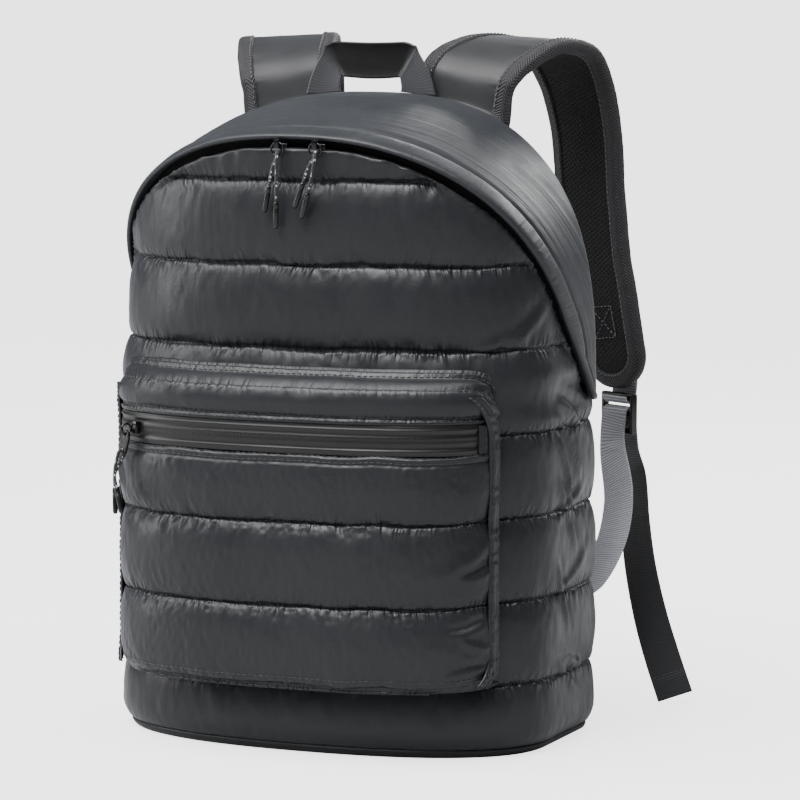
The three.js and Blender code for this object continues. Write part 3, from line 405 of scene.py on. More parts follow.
def plan_point(s, z, inset):
    """Plan of the bag: superellipse front, straight sides and tight back corner, moved in by inset."""
    side = np.where(s < 0, -1.0, 1.0)
    t = np.abs(s)
    back = back_at(z)
    turn = np.clip(t / PLAN_FRONT, 0, 1) * np.pi / 2
    c, d = np.clip(np.cos(turn), 0, 1), np.sin(turn)
    round_turn = np.clip((t - PLAN_SIDE) / (1 - PLAN_SIDE), 0, 1) * np.pi / 2
    front, straight = t < PLAN_FRONT, t < PLAN_SIDE
    pick = lambda a, b, e: np.where(front, a, np.where(straight, b, e))
    x = pick(HALF_WIDTH * d ** (2 / FRONT_ROUND), HALF_WIDTH,
             HALF_WIDTH - BACK_CORNER * (1 - np.cos(round_turn)))
    y = pick(-FRONT_DEPTH * c ** (2 / FRONT_ROUND),
             (back - BACK_CORNER) * (t - PLAN_FRONT) / (PLAN_SIDE - PLAN_FRONT),
             back - BACK_CORNER * (1 - np.sin(round_turn)))
    nx = pick(d ** (2 - 2 / FRONT_ROUND) / HALF_WIDTH, 1, np.cos(round_turn))
    ny = pick(-(c ** (2 - 2 / FRONT_ROUND)) / FRONT_DEPTH, 0, np.sin(round_turn))
    length = np.hypot(nx, ny)
    corner_x = np.where(t > PLAN_SIDE, HALF_WIDTH - BACK_CORNER, 0)
    return side * np.maximum(corner_x, x - inset * nx / length), y - inset * ny / length, np.abs(ny) / length


def body_point(s, z, inset):
    """The quilted wall at plan share s and height z: tucked in under the hood and rounded at its foot."""
    below = np.clip(BASE_ROUND - z, 0, BASE_ROUND)
    foot = BASE_ROUND - np.sqrt(BASE_ROUND ** 2 - below ** 2)
    tuck = PANEL_TUCK * smooth((z - TUCK_START) / TUCK_RISE)
    x, y, _ = plan_point(s, z, inset + foot + tuck)
    lip_y = np.clip((LIP_HEIGHT - z) / LIP_SLOPE, 2 - FRONT_DEPTH, 0)
    lip_x = bowed(LIP_HALF_WIDTH, (lip_y - LIP_CENTRE) / (FRONT_DEPTH + LIP_CENTRE), LIP_ROUND)
    narrow = np.minimum(1, (lip_x - LIP_GAP) / body_half_at(lip_y))
    narrow = 1 + (narrow - 1) * smooth((z - PANEL_ARCH_START) / (LIP_HEIGHT - PANEL_ARCH_START))
    return np.stack([x * narrow, y, z + 0 * x], -1)


def body_half_at(y):
    """Half width of the bag's front plan at a depth y."""
    return bowed(HALF_WIDTH, y / FRONT_DEPTH, FRONT_ROUND)


def body_front(x):
    """The front face's crest line in plan, at a distance x from the middle."""
    return -bowed(FRONT_DEPTH, x / HALF_WIDTH, FRONT_ROUND)


def arch_point(a):
    """The hood's back edge, from a = 0 at its top to 1 at the shoulder: x, z and the way out."""
    side = np.where(a < 0, -1.0, 1.0)
    t = np.abs(a)
    turn = np.clip(t / ARCH_SHARE, 0, 1) * np.pi / 2
    c, d = np.clip(np.cos(turn), 0, 1), np.sin(turn)
    arch = t < ARCH_SHARE
    x = side * np.where(arch, HALF_WIDTH * d ** (2 / ARCH_POWER), HALF_WIDTH)
    down = (t - ARCH_SHARE) / (1 - ARCH_SHARE)
    z = np.where(arch, ARCH_START + (ARCH_TOP - ARCH_START) * c ** (2 / ARCH_POWER),
                 ARCH_START + (HOOD_FOOT - ARCH_START) * down)
    nx = np.where(arch, d ** (2 - 2 / ARCH_POWER) / HALF_WIDTH, 1)
    nz = np.where(arch, c ** (2 - 2 / ARCH_POWER) / (ARCH_TOP - ARCH_START), 0)
    length = np.hypot(nx, nz)
    return x, z, side * nx / length, nz / length


def lip_point(a):
    """The flap's free edge in its sloping plane: a half superellipse, then straight back to the side."""
    side = np.where(a < 0, -1.0, 1.0)
    t = np.abs(a)
    turn = np.clip(t / LIP_SHARE, 0, 1) * np.pi / 2
    down = np.clip((t - LIP_SHARE) / (1 - LIP_SHARE), 0, 1)
    front = t < LIP_SHARE
    x = np.where(front, LIP_HALF_WIDTH * np.sin(turn) ** (2 / LIP_ROUND),
                 LIP_HALF_WIDTH + (HALF_WIDTH - LIP_HALF_WIDTH) * down)
    ahead = (FRONT_DEPTH + LIP_CENTRE) * np.clip(np.cos(turn), 0, 1) ** (2 / LIP_ROUND)
    y = np.where(front, LIP_CENTRE - ahead, LIP_CENTRE + (LIP_END - LIP_CENTRE) * down)
    return np.stack([side * x, y, LIP_HEIGHT - LIP_SLOPE * y], -1)


def hood_reach(a):
    """Length of the hood at share a: in front of the back corner, and with the corner's quarter turn."""
    x, z, _, _ = arch_point(a)
    turn = np.stack([x, back_at(z) - BACK_CORNER, z], -1)
    length = np.linalg.norm(lip_point(a) - turn, axis=-1)
    return length, length + BACK_CORNER * np.pi / 2


def hood_point(a, along):
    """The hood's outer surface: a bulged blend from the flap to the arch, then a quarter turn to the back."""
    a, along = np.broadcast_arrays(a, along)
    lip = lip_point(a)
    x, z, out_x, out_z = arch_point(a)
    turn_y = back_at(z) - BACK_CORNER
    length, _ = hood_reach(a)
    t = np.clip(along / length, 0, 1)
    rise = 1 - (1 - t) ** HOOD_BULGE
    top = np.stack([lip[..., 0] + (x - lip[..., 0]) * rise, lip[..., 1] + (turn_y - lip[..., 1]) * t,
                    lip[..., 2] + (z - lip[..., 2]) * rise], -1)
    angle = np.clip(along - length, 0, None) / BACK_CORNER
    drop = BACK_CORNER * (1 - np.cos(angle))
    corner = np.stack([x - out_x * drop, turn_y + BACK_CORNER * np.sin(angle), z - out_z * drop], -1)
    return np.where((along < length)[..., None], top, corner)


def hood_at(a, along, off):
    """A point at a height off above the hood's surface, with the normal from small steps both ways."""
    a, along, off = np.broadcast_arrays(a, along, off)
    step = 0.004
    near = np.minimum(along + 0.5, hood_reach(a)[1])
    u = hood_point(np.clip(a + step, -1, 1), along) - hood_point(np.clip(a - step, -1, 1), along)
    v = hood_point(a, near) - hood_point(a, near - 0.5)
    return hood_point(a, along) + unit(np.cross(u, v)) * off[..., None]


def pocket_plan(u, inset):
    """The pocket in plan: a superellipse bow from side to side."""
    turn = u * np.pi / 2
    half = POCKET_HALF_WIDTH - inset
    x = half * np.sign(u) * np.abs(np.sin(turn)) ** (2 / POCKET_SQUARE)
    ahead = (POCKET_FRONT - POCKET_SIDE - inset) * np.clip(np.cos(turn), 0, 1) ** (2 / POCKET_ROUND)
    return x, -POCKET_SIDE - ahead


def pocket_point(u, z, inset):
    """The pocket's surface at share u across it, kept in front of the body."""
    u, z, inset = np.broadcast_arrays(u, z, inset)
    x, y = pocket_plan(u, inset)
    return np.stack([x, np.minimum(y, body_front(x) - SEAT), z], -1)


def even_shares(line, low, high, count):
    """Shares from low to high that lie at equal steps of length on line(share)."""
    fine = np.linspace(low, high, 3000)
    length = lengths(line(fine))
    return np.interp(np.linspace(0, length[-1], count), length, fine), length[-1]


# Finishes


class Finish:
    """A material with short ways to add nodes. Patterns read the piece's own UV map, which is in mm."""

    def __init__(self, name, colour, roughness, **shader):
        self.material = bpy.data.materials.new(name)
        self.material.use_nodes = True
        self.tree = self.material.node_tree
        self.shader = self.tree.nodes["Principled BSDF"]
        self.paint(Base_Color=(*colour, 1.0), Roughness=roughness, **shader)
        self.normal = None

    def set(self, node, inputs):
        """Links or sets a node's inputs."""
        for key, value in inputs.items():
            if isinstance(value, bpy.types.NodeSocket):
                self.tree.links.new(value, node.inputs[key])
            else:
                node.inputs[key].default_value = value

    def paint(self, **inputs):
        """Sets the shader's own inputs, with an underscore for each space in a name."""
        self.set(self.shader, {key.replace("_", " "): value for key, value in inputs.items()})

    def add(self, kind, inputs=None, out=0, **settings):
        """A new node, of which one output is given back."""
        node = self.tree.nodes.new("ShaderNode" + kind)
        for key, value in settings.items():
            setattr(node, key, value)
        self.set(node, inputs or {})
        return node.outputs[out]

    def place(self, kind="UV", scale=(1, 1, 1), turn=0.0):
        """Coordinates: UV in mm, or Object in metres, scaled and turned about Z."""
        start = self.add("UVMap", uv_map="cloth") if kind == "UV" else self.add("TexCoord", out=3)
        return self.add("Mapping", {"Vector": start, "Scale": scale, "Rotation": (0, 0, turn)})

    def maths(self, operation, a, b=0.5):
        """Arithmetic on one or two values."""
        return self.add("Math", {0: a, 1: b}, operation=operation)

    def noise(self, where, scale, detail=2.0, rough=0.5, distortion=0.0):
        """Fractal noise around 0.5."""
        return self.add("TexNoise", {"Vector": where, "Scale": scale, "Detail": detail, "Roughness": rough,
                                     "Distortion": distortion})

    def ramp(self, value, low, high, start=0.0, end=1.0):
        """The value carried from low and high to start and end, and held at both."""
        return self.add("MapRange", {"Value": value, "From Min": low, "From Max": high, "To Min": start,
                                     "To Max": end})

    def wave(self, along, period, low=0.0, high=1.0):
        """A sine along one coordinate in mm, from low to high."""
        turn = self.maths("MULTIPLY", along, 2 * math.pi / period)
        return self.ramp(self.maths("SINE", turn), -1, 1, low, high)

    def mix(self, share, a, b):
        """Colour a blended into colour b by share."""
        node = self.tree.nodes.new("ShaderNodeMix")
        node.data_type = "RGBA"
        self.set(node, {0: share, 6: a, 7: b})
        return node.outputs[2]

    def bump(self, height, distance, strength=1.0):
        """Adds one more layer of relief, distance in mm."""
        inputs = {"Height": height, "Distance": distance * MM, "Strength": strength}
        if self.normal is not None:
            inputs["Normal"] = self.normal
        self.normal = self.add("Bump", inputs)
        self.paint(Normal=self.normal)


def tone(colour, times):
    """A colour made lighter or darker."""
    return (*(min(1.0, c * times) for c in colour), 1.0)


def nylon_finish(name, colour, crease=1.0, roughness=0.37, streak=(0.06, 0.018, 1), seams=None):
    """Downproof nylon: close weave, soft creases and a satin face. seams holds what gathers takes."""
    f = Finish(name, colour, roughness, Sheen_Weight=0.07, Sheen_Roughness=0.3,
               Sheen_Tint=(0.7, 0.82, 1.0, 1.0), Specular_IOR_Level=0.32)
    cloth = f.place()
    broad = f.noise(f.place("Object"), 9.0, 3.0)
    fleck = f.noise(f.place(scale=(0.25, 4.0, 1)), 0.8, 3.0)
    shade = f.mix(f.ramp(broad, 0.3, 0.7), tone(colour, 0.88), tone(colour, 1.12))
    f.paint(Base_Color=f.mix(f.ramp(fleck, 0.35, 0.75, 0, 0.5), shade, tone(colour, 1.5)),
            Roughness=f.ramp(f.noise(cloth, 0.05, 3.0), 0.3, 0.7, roughness - 0.05, roughness + 0.06))
    f.bump(f.noise(f.place(scale=streak), 1.0, 3.0, 0.5, 0.4), 1.1 * crease, 0.5)
    f.bump(f.noise(cloth, 0.2, 2.0, 0.5, 0.3), 0.22 * crease, 0.5)
    if seams:
        gathers(f, *seams)
    f.bump(f.noise(f.place(scale=(0.3, 5.0, 1)), 1.0, 2.0), 0.03, 0.5)
    weave = [f.add("TexWave", {"Vector": cloth, "Scale": 0.7}, out=1, bands_direction=way) for way in "XY"]
    f.bump(f.maths("MULTIPLY", *weave), 0.025, 0.5)
    return f.material


def gathers(f, first, step, reach=14.0, pitch=3.7, depth=2.6):
    """Short ridges across seams at even steps from a first level: stretched noise, fading over reach mm."""
    split = f.add("SeparateXYZ", {"Vector": f.place()}).node.outputs
    away = f.maths("PINGPONG", f.maths("SUBTRACT", split[1], first), step / 2)
    patch = f.ramp(f.noise(f.place(scale=(0.022, 0.02, 1)), 1.0, 2.0), 0.38, 0.62, 0.2, 1.0)
    longer = f.ramp(f.noise(f.place(scale=(0.12, 0.01, 1)), 1.0, 1.0), 0.3, 0.7, 0.35, 1.0)
    fade = f.ramp(f.maths("DIVIDE", away, f.maths("MULTIPLY", longer, reach)), 0.0, 1.0, 1.0, 0.0)
    slope = f.ramp(f.noise(f.place(scale=(0.015, 0.02, 1)), 1.0), 0.3, 0.7, -0.5, 0.5)
    across = f.maths("DIVIDE", f.maths("ADD", split[0], f.maths("MULTIPLY", away, slope)), pitch)
    where = f.add("CombineXYZ", {0: across, 1: f.maths("DIVIDE", split[1], 34.0)})
    ridge = f.ramp(f.noise(where, 1.0, 1.0, 0.4, 0.2), 0.34, 0.66)
    ridge.node.interpolation_type = "SMOOTHSTEP"
    strength = f.maths("MULTIPLY", patch, f.maths("MULTIPLY", fade, fade))
    f.bump(f.maths("MULTIPLY", ridge, strength), depth, 0.85)


def ribbed_finish(name, colour, period, roughness=0.6, zigzag=0.0, light=2.2, fade=None, deep=0.45, soft=0.0):
    """Woven tape: ribs across it, in a herringbone where zigzag is one leg's width. The rib crowns are
    painted pale as a highlight and the grooves painted dark as shade.

    fade holds two distances along the tape in mm and how pale the painted crown highlights are before and
    after them, which paints the tape lighter or darker along its length. light is how many times paler than
    the colour a crown's painted highlight is, deep the ribs' height in mm, and soft the painted shade
    between.
    """
    f = Finish(name, colour, roughness, Sheen_Weight=0.02, Specular_IOR_Level=0.35)
    split = f.add("SeparateXYZ", {"Vector": f.place()}).node.outputs
    along = split[1]
    if zigzag:
        along = f.maths("ADD", along, f.maths("PINGPONG", split[0], zigzag))
    height = f.maths("MULTIPLY", f.wave(along, period, soft), f.wave(split[0], 0.55, 0.75))
    fuzz = f.noise(f.place(), 2.5, 2.0)
    crown = f.maths("MULTIPLY", height, f.ramp(fuzz, 0.35, 0.7, 0.2, 1.0))
    if fade:
        crown = f.maths("MULTIPLY", crown, f.ramp(split[1], *fade))
    # Painted light: crowns take a pale highlight colour and the grooves a dark painted shade.
    f.paint(Base_Color=f.mix(crown, tone(colour, 0.3), tone(colour, light)))
    f.bump(height, deep, 0.9)
    f.bump(fuzz, 0.12, 0.4)
    return f.material


def mesh_finish(name, colour, cell=3.2):
    """Spacer mesh: rows of small oval holes in a knitted face, set half a step apart. The holes are painted
    near black as the shade inside them, the knit between them paler.
    """
    f = Finish(name, colour, 0.8, Specular_IOR_Level=0.25)
    where = f.place(scale=(1 / cell, 1.25 / cell, 1), turn=0.6)
    hole = f.ramp(f.add("TexVoronoi", {"Vector": where, "Scale": 1.0, "Randomness": 0.12}), 0.22, 0.45)
    knit = f.noise(f.place(), 2.0, 2.0)
    # Painted shade: the holes are coloured near black as the shade inside them.
    pale = f.maths("MULTIPLY", hole, f.ramp(knit, 0.3, 0.8, 0.4, 1.0))
    f.paint(Base_Color=f.mix(pale, tone(colour, 0.5), tone(colour, 7.0)))
    f.bump(hole, 1.2, 1.0)
    f.bump(knit, 0.15, 0.5)
    return f.material


def plastic_finish(name, colour, roughness):
    """Moulded plastic with a fine spark-eroded grain."""
    f = Finish(name, colour, roughness)
    f.bump(f.noise(f.place("Object"), 2600.0, 2.0), 0.04, 0.4)
    worn = f.noise(f.place("Object"), 220.0, 3.0)
    f.paint(Roughness=f.ramp(worn, 0.3, 0.7, roughness - 0.06, roughness + 0.08))
    return f.material


def metal_finish(name, colour):
    """Black lacquered metal, a little worn and uneven in gloss."""
    f = Finish(name, colour, 0.25, Metallic=0.85, Coat_Weight=0.3, Coat_Roughness=0.15)
    wear = f.noise(f.place("Object"), 500.0, 4.0, 0.6)
    f.paint(Roughness=f.ramp(wear, 0.3, 0.7, 0.18, 0.36),
            Base_Color=f.mix(f.ramp(wear, 0.62, 0.75), tone(colour, 1.0), tone(colour, 2.2)))
    f.bump(wear, 0.03, 0.4)
    return f.material


def coated_finish(name, colour):
    """Zip tape with a smooth coated face: fine grain and a glossy skin."""
    f = Finish(name, colour, 0.4, Specular_IOR_Level=0.45)
    grain = f.noise(f.place(), 1.6, 3.0)
    f.bump(grain, 0.1, 0.5)
    f.paint(Base_Color=f.mix(f.ramp(grain, 0.3, 0.7), tone(colour, 0.8), tone(colour, 1.6)))
    return f.material


def cord_finish(name, colour, fleck):
    """Braided cord: crossing strands with short pale flecks, on a UV map round and along it in mm."""
    f = Finish(name, colour, 0.6, Sheen_Weight=0.2)
    strands = [f.add("TexWave", {"Vector": f.place(turn=turn), "Scale": 0.42}, out=1, bands_direction="X")
               for turn in (0.75, -0.75)]
    braid = f.maths("MAXIMUM", *strands)
    where = f.place(scale=(0.45, 0.38, 1))
    spots = f.add("TexVoronoi", {"Vector": where, "Scale": 1.0, "Randomness": 0.5})
    # Painted light: the braid's grooves are coloured darker as shade and its strand crowns paler as
    # highlight.
    braid_light_and_shade = f.mix(braid, tone(colour, 0.5), tone(colour, 1.8))
    f.paint(Base_Color=f.mix(f.maths("LESS_THAN", spots, 0.3), braid_light_and_shade, (*fleck, 1.0)))
    f.bump(braid, 0.25, 0.9)
    return f.material


def thread_finish(name, colour):
    """Sewing thread: a twisted filament with a slight shine."""
    f = Finish(name, colour, 0.45, Sheen_Weight=0.3)
    twist = f.noise(f.place("Object"), 3000.0, 1.0)
    f.bump(twist, 0.05, 0.6)
    f.paint(Base_Color=f.mix(twist, tone(colour, 0.7), tone(colour, 1.4)))
    return f.material


finishes = {}
HOOD_STREAK = (0.007, 0.2, 1)
BAND_SEAMS = (4.8, 17.7, 9.0, 3.4, 1.1)
# Painted shade on the adjuster webbing: its crown highlights fade out between 150 and 230 mm along it, so the
# hanging tail is painted darker.
TAIL_PAINTED_SHADE = (150, 230, 1.0, 0.015)
# Painted light on the haul handle: near the middle of its top run the crown highlights are almost gone as
# painted shade, and on the legs they are full as painted light.
HANDLE_PAINTED_LIGHT = (24, 34, 0.01, 1.0)


def make_finishes(colours):
    """Every finish of the bag, from the add-on's colours."""
    nylon, strap, dark = tuple(colours.nylon), tuple(colours.strap), tuple(colours.dark)
    webbing = tuple(colours.webbing)
    shade = lambda colour, times: tone(colour, times)[:3]
    finishes.update(
        quilt=nylon_finish("quilted nylon", nylon, seams=(SEAM_FIRST, SEAM_STEP)),
        band=nylon_finish("pocket band nylon", nylon, seams=BAND_SEAMS),
        # Painted shadow: the main zip tape is near black and dull so that it reads as the shadow gap under
        # the flap.
        shadow=nylon_finish("zip tape", (0.0012, 0.0012, 0.0013), 0.3, 0.85),
        # Painted light: the hood and flap nylon is the body's nylon made 1.6 times paler, for the light on
        # the hood's upturned top.
        hood=nylon_finish("hood nylon painted lighter", shade(nylon, 1.6), 1.0, 0.4, HOOD_STREAK),
        strap=nylon_finish("strap nylon", strap, 0.5, 0.46),
        base=nylon_finish("base nylon", shade(nylon, 0.6), 0.6, 0.5),
        mesh=mesh_finish("air mesh", dark),
        binding=ribbed_finish("herringbone binding", dark, 2.3, zigzag=4.2, light=28.0),
        piping=ribbed_finish("ribbed piping", dark, 1.7, light=2.0),
        # The webbing's hanging tail is painted darker as shade.
        webbing=ribbed_finish("webbing", webbing, 1.9, 0.5, light=15.0, fade=TAIL_PAINTED_SHADE, deep=0.3, soft=0.4),
        # The handle's top run is painted dark as shade and its legs paler as light.
        handle=ribbed_finish("handle webbing", shade(webbing, 0.1), 1.6, 0.36, light=24.0, fade=HANDLE_PAINTED_LIGHT,
                             deep=0.1, soft=0.6),
        tape=coated_finish("coated zip tape", dark),
        plastic=plastic_finish("moulded plastic", dark, 0.3),
        metal=metal_finish("black metal", tuple(colours.metal)),
        cord=cord_finish("pull cord", dark, tuple(colours.fleck)),
        thread=thread_finish("sewing thread", shade(dark, 0.9)),
        pale_thread=thread_finish("binding thread", shade(strap, 2.6)),
    )


# Stitches


def stitches(name, paths, ups, length=3.0, gap=1.0, wide=0.55, proud=0.25):
    """Rows of stitches: each a small spindle with six sides, laid along a path in mm at even steps."""
    turn = np.arange(6) * np.pi / 3
    rim = wide / 2 * np.stack([np.cos(turn), np.sin(turn)], 1)
    spindle = np.concatenate([np.column_stack([np.full(6, place * length / 2), girth * rim])
                              for place, girth in ((-1, 0.25), (-0.55, 1), (0.55, 1), (1, 0.25))])
    faces = [[k * 6 + j, k * 6 + (j + 1) % 6, k * 6 + 6 + (j + 1) % 6, k * 6 + 6 + j] for k in range(3)
             for j in range(6)]
    faces += [[5, 4, 3, 2, 1, 0], [18, 19, 20, 21, 22, 23]]
    points, polygons = [], []
    for path, up in zip(paths, ups):
        steps = lengths(path)
        count = max(2, int(steps[-1] / (length + gap)))
        where = (np.arange(count) + 0.5) * steps[-1] / count
        along = unit(sampled(path, steps, where + 0.8) - sampled(path, steps, where - 0.8))
        lift = sampled(up, steps, where)
        lift = unit(lift - (lift * along).sum(1, keepdims=True) * along)
        side = np.cross(lift, along)
        body = (sampled(path, steps, where) + lift * proud)[:, None] + (
            spindle[None, :, :1] * along[:, None] + spindle[None, :, 1:2] * side[:, None]
            + spindle[None, :, 2:] * lift[:, None])
        points += list(body)
    for k in range(len(points)):
        polygons += [[k * len(spindle) + n for n in face] for face in faces]
    mesh = bpy.data.meshes.new(name)
    mesh.from_pydata((np.concatenate(points) * MM).tolist(), [], polygons)
    mesh.shade_smooth()
    obj = bpy.data.objects.new(name, mesh)
    bpy.context.scene.collection.objects.link(obj)
    return obj


def both_sides(paths, ups):
    """The same rows of stitches on the bag's right and left."""
    return paths + [path * MIRROR for path in paths], ups + [up * MIRROR for up in ups]


def sample_grid(grid, row, col):
    """Points of a grid at fractional rows and columns, by straight blending."""
    row = np.clip(np.broadcast_to(row, np.shape(col)).astype(float), 0, grid.shape[0] - 1.001)
    col = np.clip(np.asarray(col, float), 0, grid.shape[1] - 1.001)
    i, j = row.astype(int), col.astype(int)
    a, b = (row - i)[..., None], (col - j)[..., None]
    return ((grid[i, j] * (1 - a) + grid[i + 1, j] * a) * (1 - b)
            + (grid[i, j + 1] * (1 - a) + grid[i + 1, j + 1] * a) * b)


# Properties


class BACKPACK_PG_sizes(bpy.types.PropertyGroup):
    """Sizes that a user would change."""

    seam_depth: FloatProperty(name="Seam depth", description="How far a quilting seam is drawn in",
                              default=0.0075, unit="LENGTH", subtype="DISTANCE")
    slack: FloatProperty(name="Slack", description="Extra length of the cloth between seams", default=0.014,
                         subtype="FACTOR", min=0, max=0.3)
    stitch: FloatProperty(name="Stitch length", description="Length of one stitch", default=0.003,
                          unit="LENGTH", subtype="DISTANCE")
    body_columns: IntProperty(name="Body columns", description="Points round the quilted wall", default=270)
    body_rows: IntProperty(name="Body rows", description="Points up the quilted wall", default=168)


class BACKPACK_PG_colours(bpy.types.PropertyGroup):
    """Colours that a user would change, in linear values."""

    # The hood and flap use this colour painted 1.6 times paler, as the light on the hood's top.
    nylon: FloatVectorProperty(name="Nylon", description="Quilted and hood cloth", subtype="COLOR", size=3,
                               default=(0.0115, 0.0125, 0.0143))
    strap: FloatVectorProperty(name="Strap nylon", description="Outer face of the straps", subtype="COLOR",
                               size=3, default=(0.0165, 0.0168, 0.0185))
    dark: FloatVectorProperty(name="Dark trim", description="Bindings, mesh, tape and plastic",
                              subtype="COLOR", size=3, default=(0.0022, 0.0022, 0.0025))
    webbing: FloatVectorProperty(name="Webbing", description="Adjuster webbing", subtype="COLOR", size=3,
                                 default=(0.046, 0.047, 0.052))
    metal: FloatVectorProperty(name="Metal", description="Sliders and rings", subtype="COLOR", size=3,
                               default=(0.02, 0.02, 0.022))
    fleck: FloatVectorProperty(name="Flecks", description="Pale flecks in the pull cords", subtype="COLOR",
                               size=3, default=(0.55, 0.55, 0.56))


class BACKPACK_PG_stage(bpy.types.PropertyGroup):
    """The camera's place and lens."""

    azimuth: FloatProperty(name="Azimuth", description="The camera's turn round the bag", subtype="ANGLE",
                           unit="ROTATION", default=math.radians(23.4))
    elevation: FloatProperty(name="Elevation", description="The camera's height angle", subtype="ANGLE",
                             unit="ROTATION", default=math.radians(6.3))
    distance: FloatProperty(name="Distance", description="From the camera to the bag's middle",
                            subtype="DISTANCE", unit="LENGTH", default=2.7)
    lens: FloatProperty(name="Lens", description="Focal length in millimetres", default=182.25)


# Operators


class BACKPACK_OT_camera(bpy.types.Operator):
    """Sets the camera at the photograph's viewing angle"""

    bl_idname = "backpack.camera"
    bl_label = "Camera"

    def execute(self, context):
        stage = context.scene.backpack_stage
        target = Vector((0, 0, 0.215))
        level = math.cos(stage.elevation)
        across, ahead = math.sin(stage.azimuth) * level, -math.cos(stage.azimuth) * level
        back = Vector((across, ahead, math.sin(stage.elevation)))
        camera = bpy.data.objects.new("camera", bpy.data.cameras.new("camera"))
        camera.location = target + back * stage.distance
        camera.rotation_euler = back.to_track_quat("Z", "Y").to_euler()
        camera.data.lens = stage.lens
        camera.data.sensor_width = 36
        camera.data.shift_x = 0.07125
        camera.data.shift_y = 0.01625
        camera.data.clip_end = 500
        context.scene.collection.objects.link(camera)
        context.scene.camera = camera
        return {"FINISHED"}


BODY_FOLDS = (
    {"start": (196, 232), "end": (262, 196), "width": 3.6, "rise": 1.8, "bow": 4},
    {"start": (194, 224), "end": (246, 166), "width": 3.2, "rise": 1.7, "bow": 4},
    {"start": (193, 214), "end": (232, 142), "width": 3.4, "rise": 1.6, "bow": 3},
    {"start": (200, 238), "end": (270, 222), "width": 3.0, "rise": 1.2, "bow": 2},
    {"start": (196, 180), "end": (236, 118), "width": 3.6, "rise": 1.5, "bow": 4},
    {"start": (196, 150), "end": (254, 176), "width": 3.4, "rise": 1.0, "bow": -4},
    {"start": (194, 128), "end": (222, 64), "width": 3.2, "rise": 1.4, "bow": 3},
    {"start": (200, 100), "end": (262, 132), "width": 4.0, "rise": 1.0, "bow": -3},
    {"start": (194, 60), "end": (240, 30), "width": 3.6, "rise": 1.7, "bow": 2},
    {"start": (204, 58), "end": (262, 44), "width": 3.2, "rise": 1.3, "bow": 2},
    {"start": (150, 262), "end": (206, 300), "width": 3.6, "rise": 0.9, "bow": 3},
    {"start": (120, 262), "end": (168, 276), "width": 3.0, "rise": 0.9, "bow": 2},
)


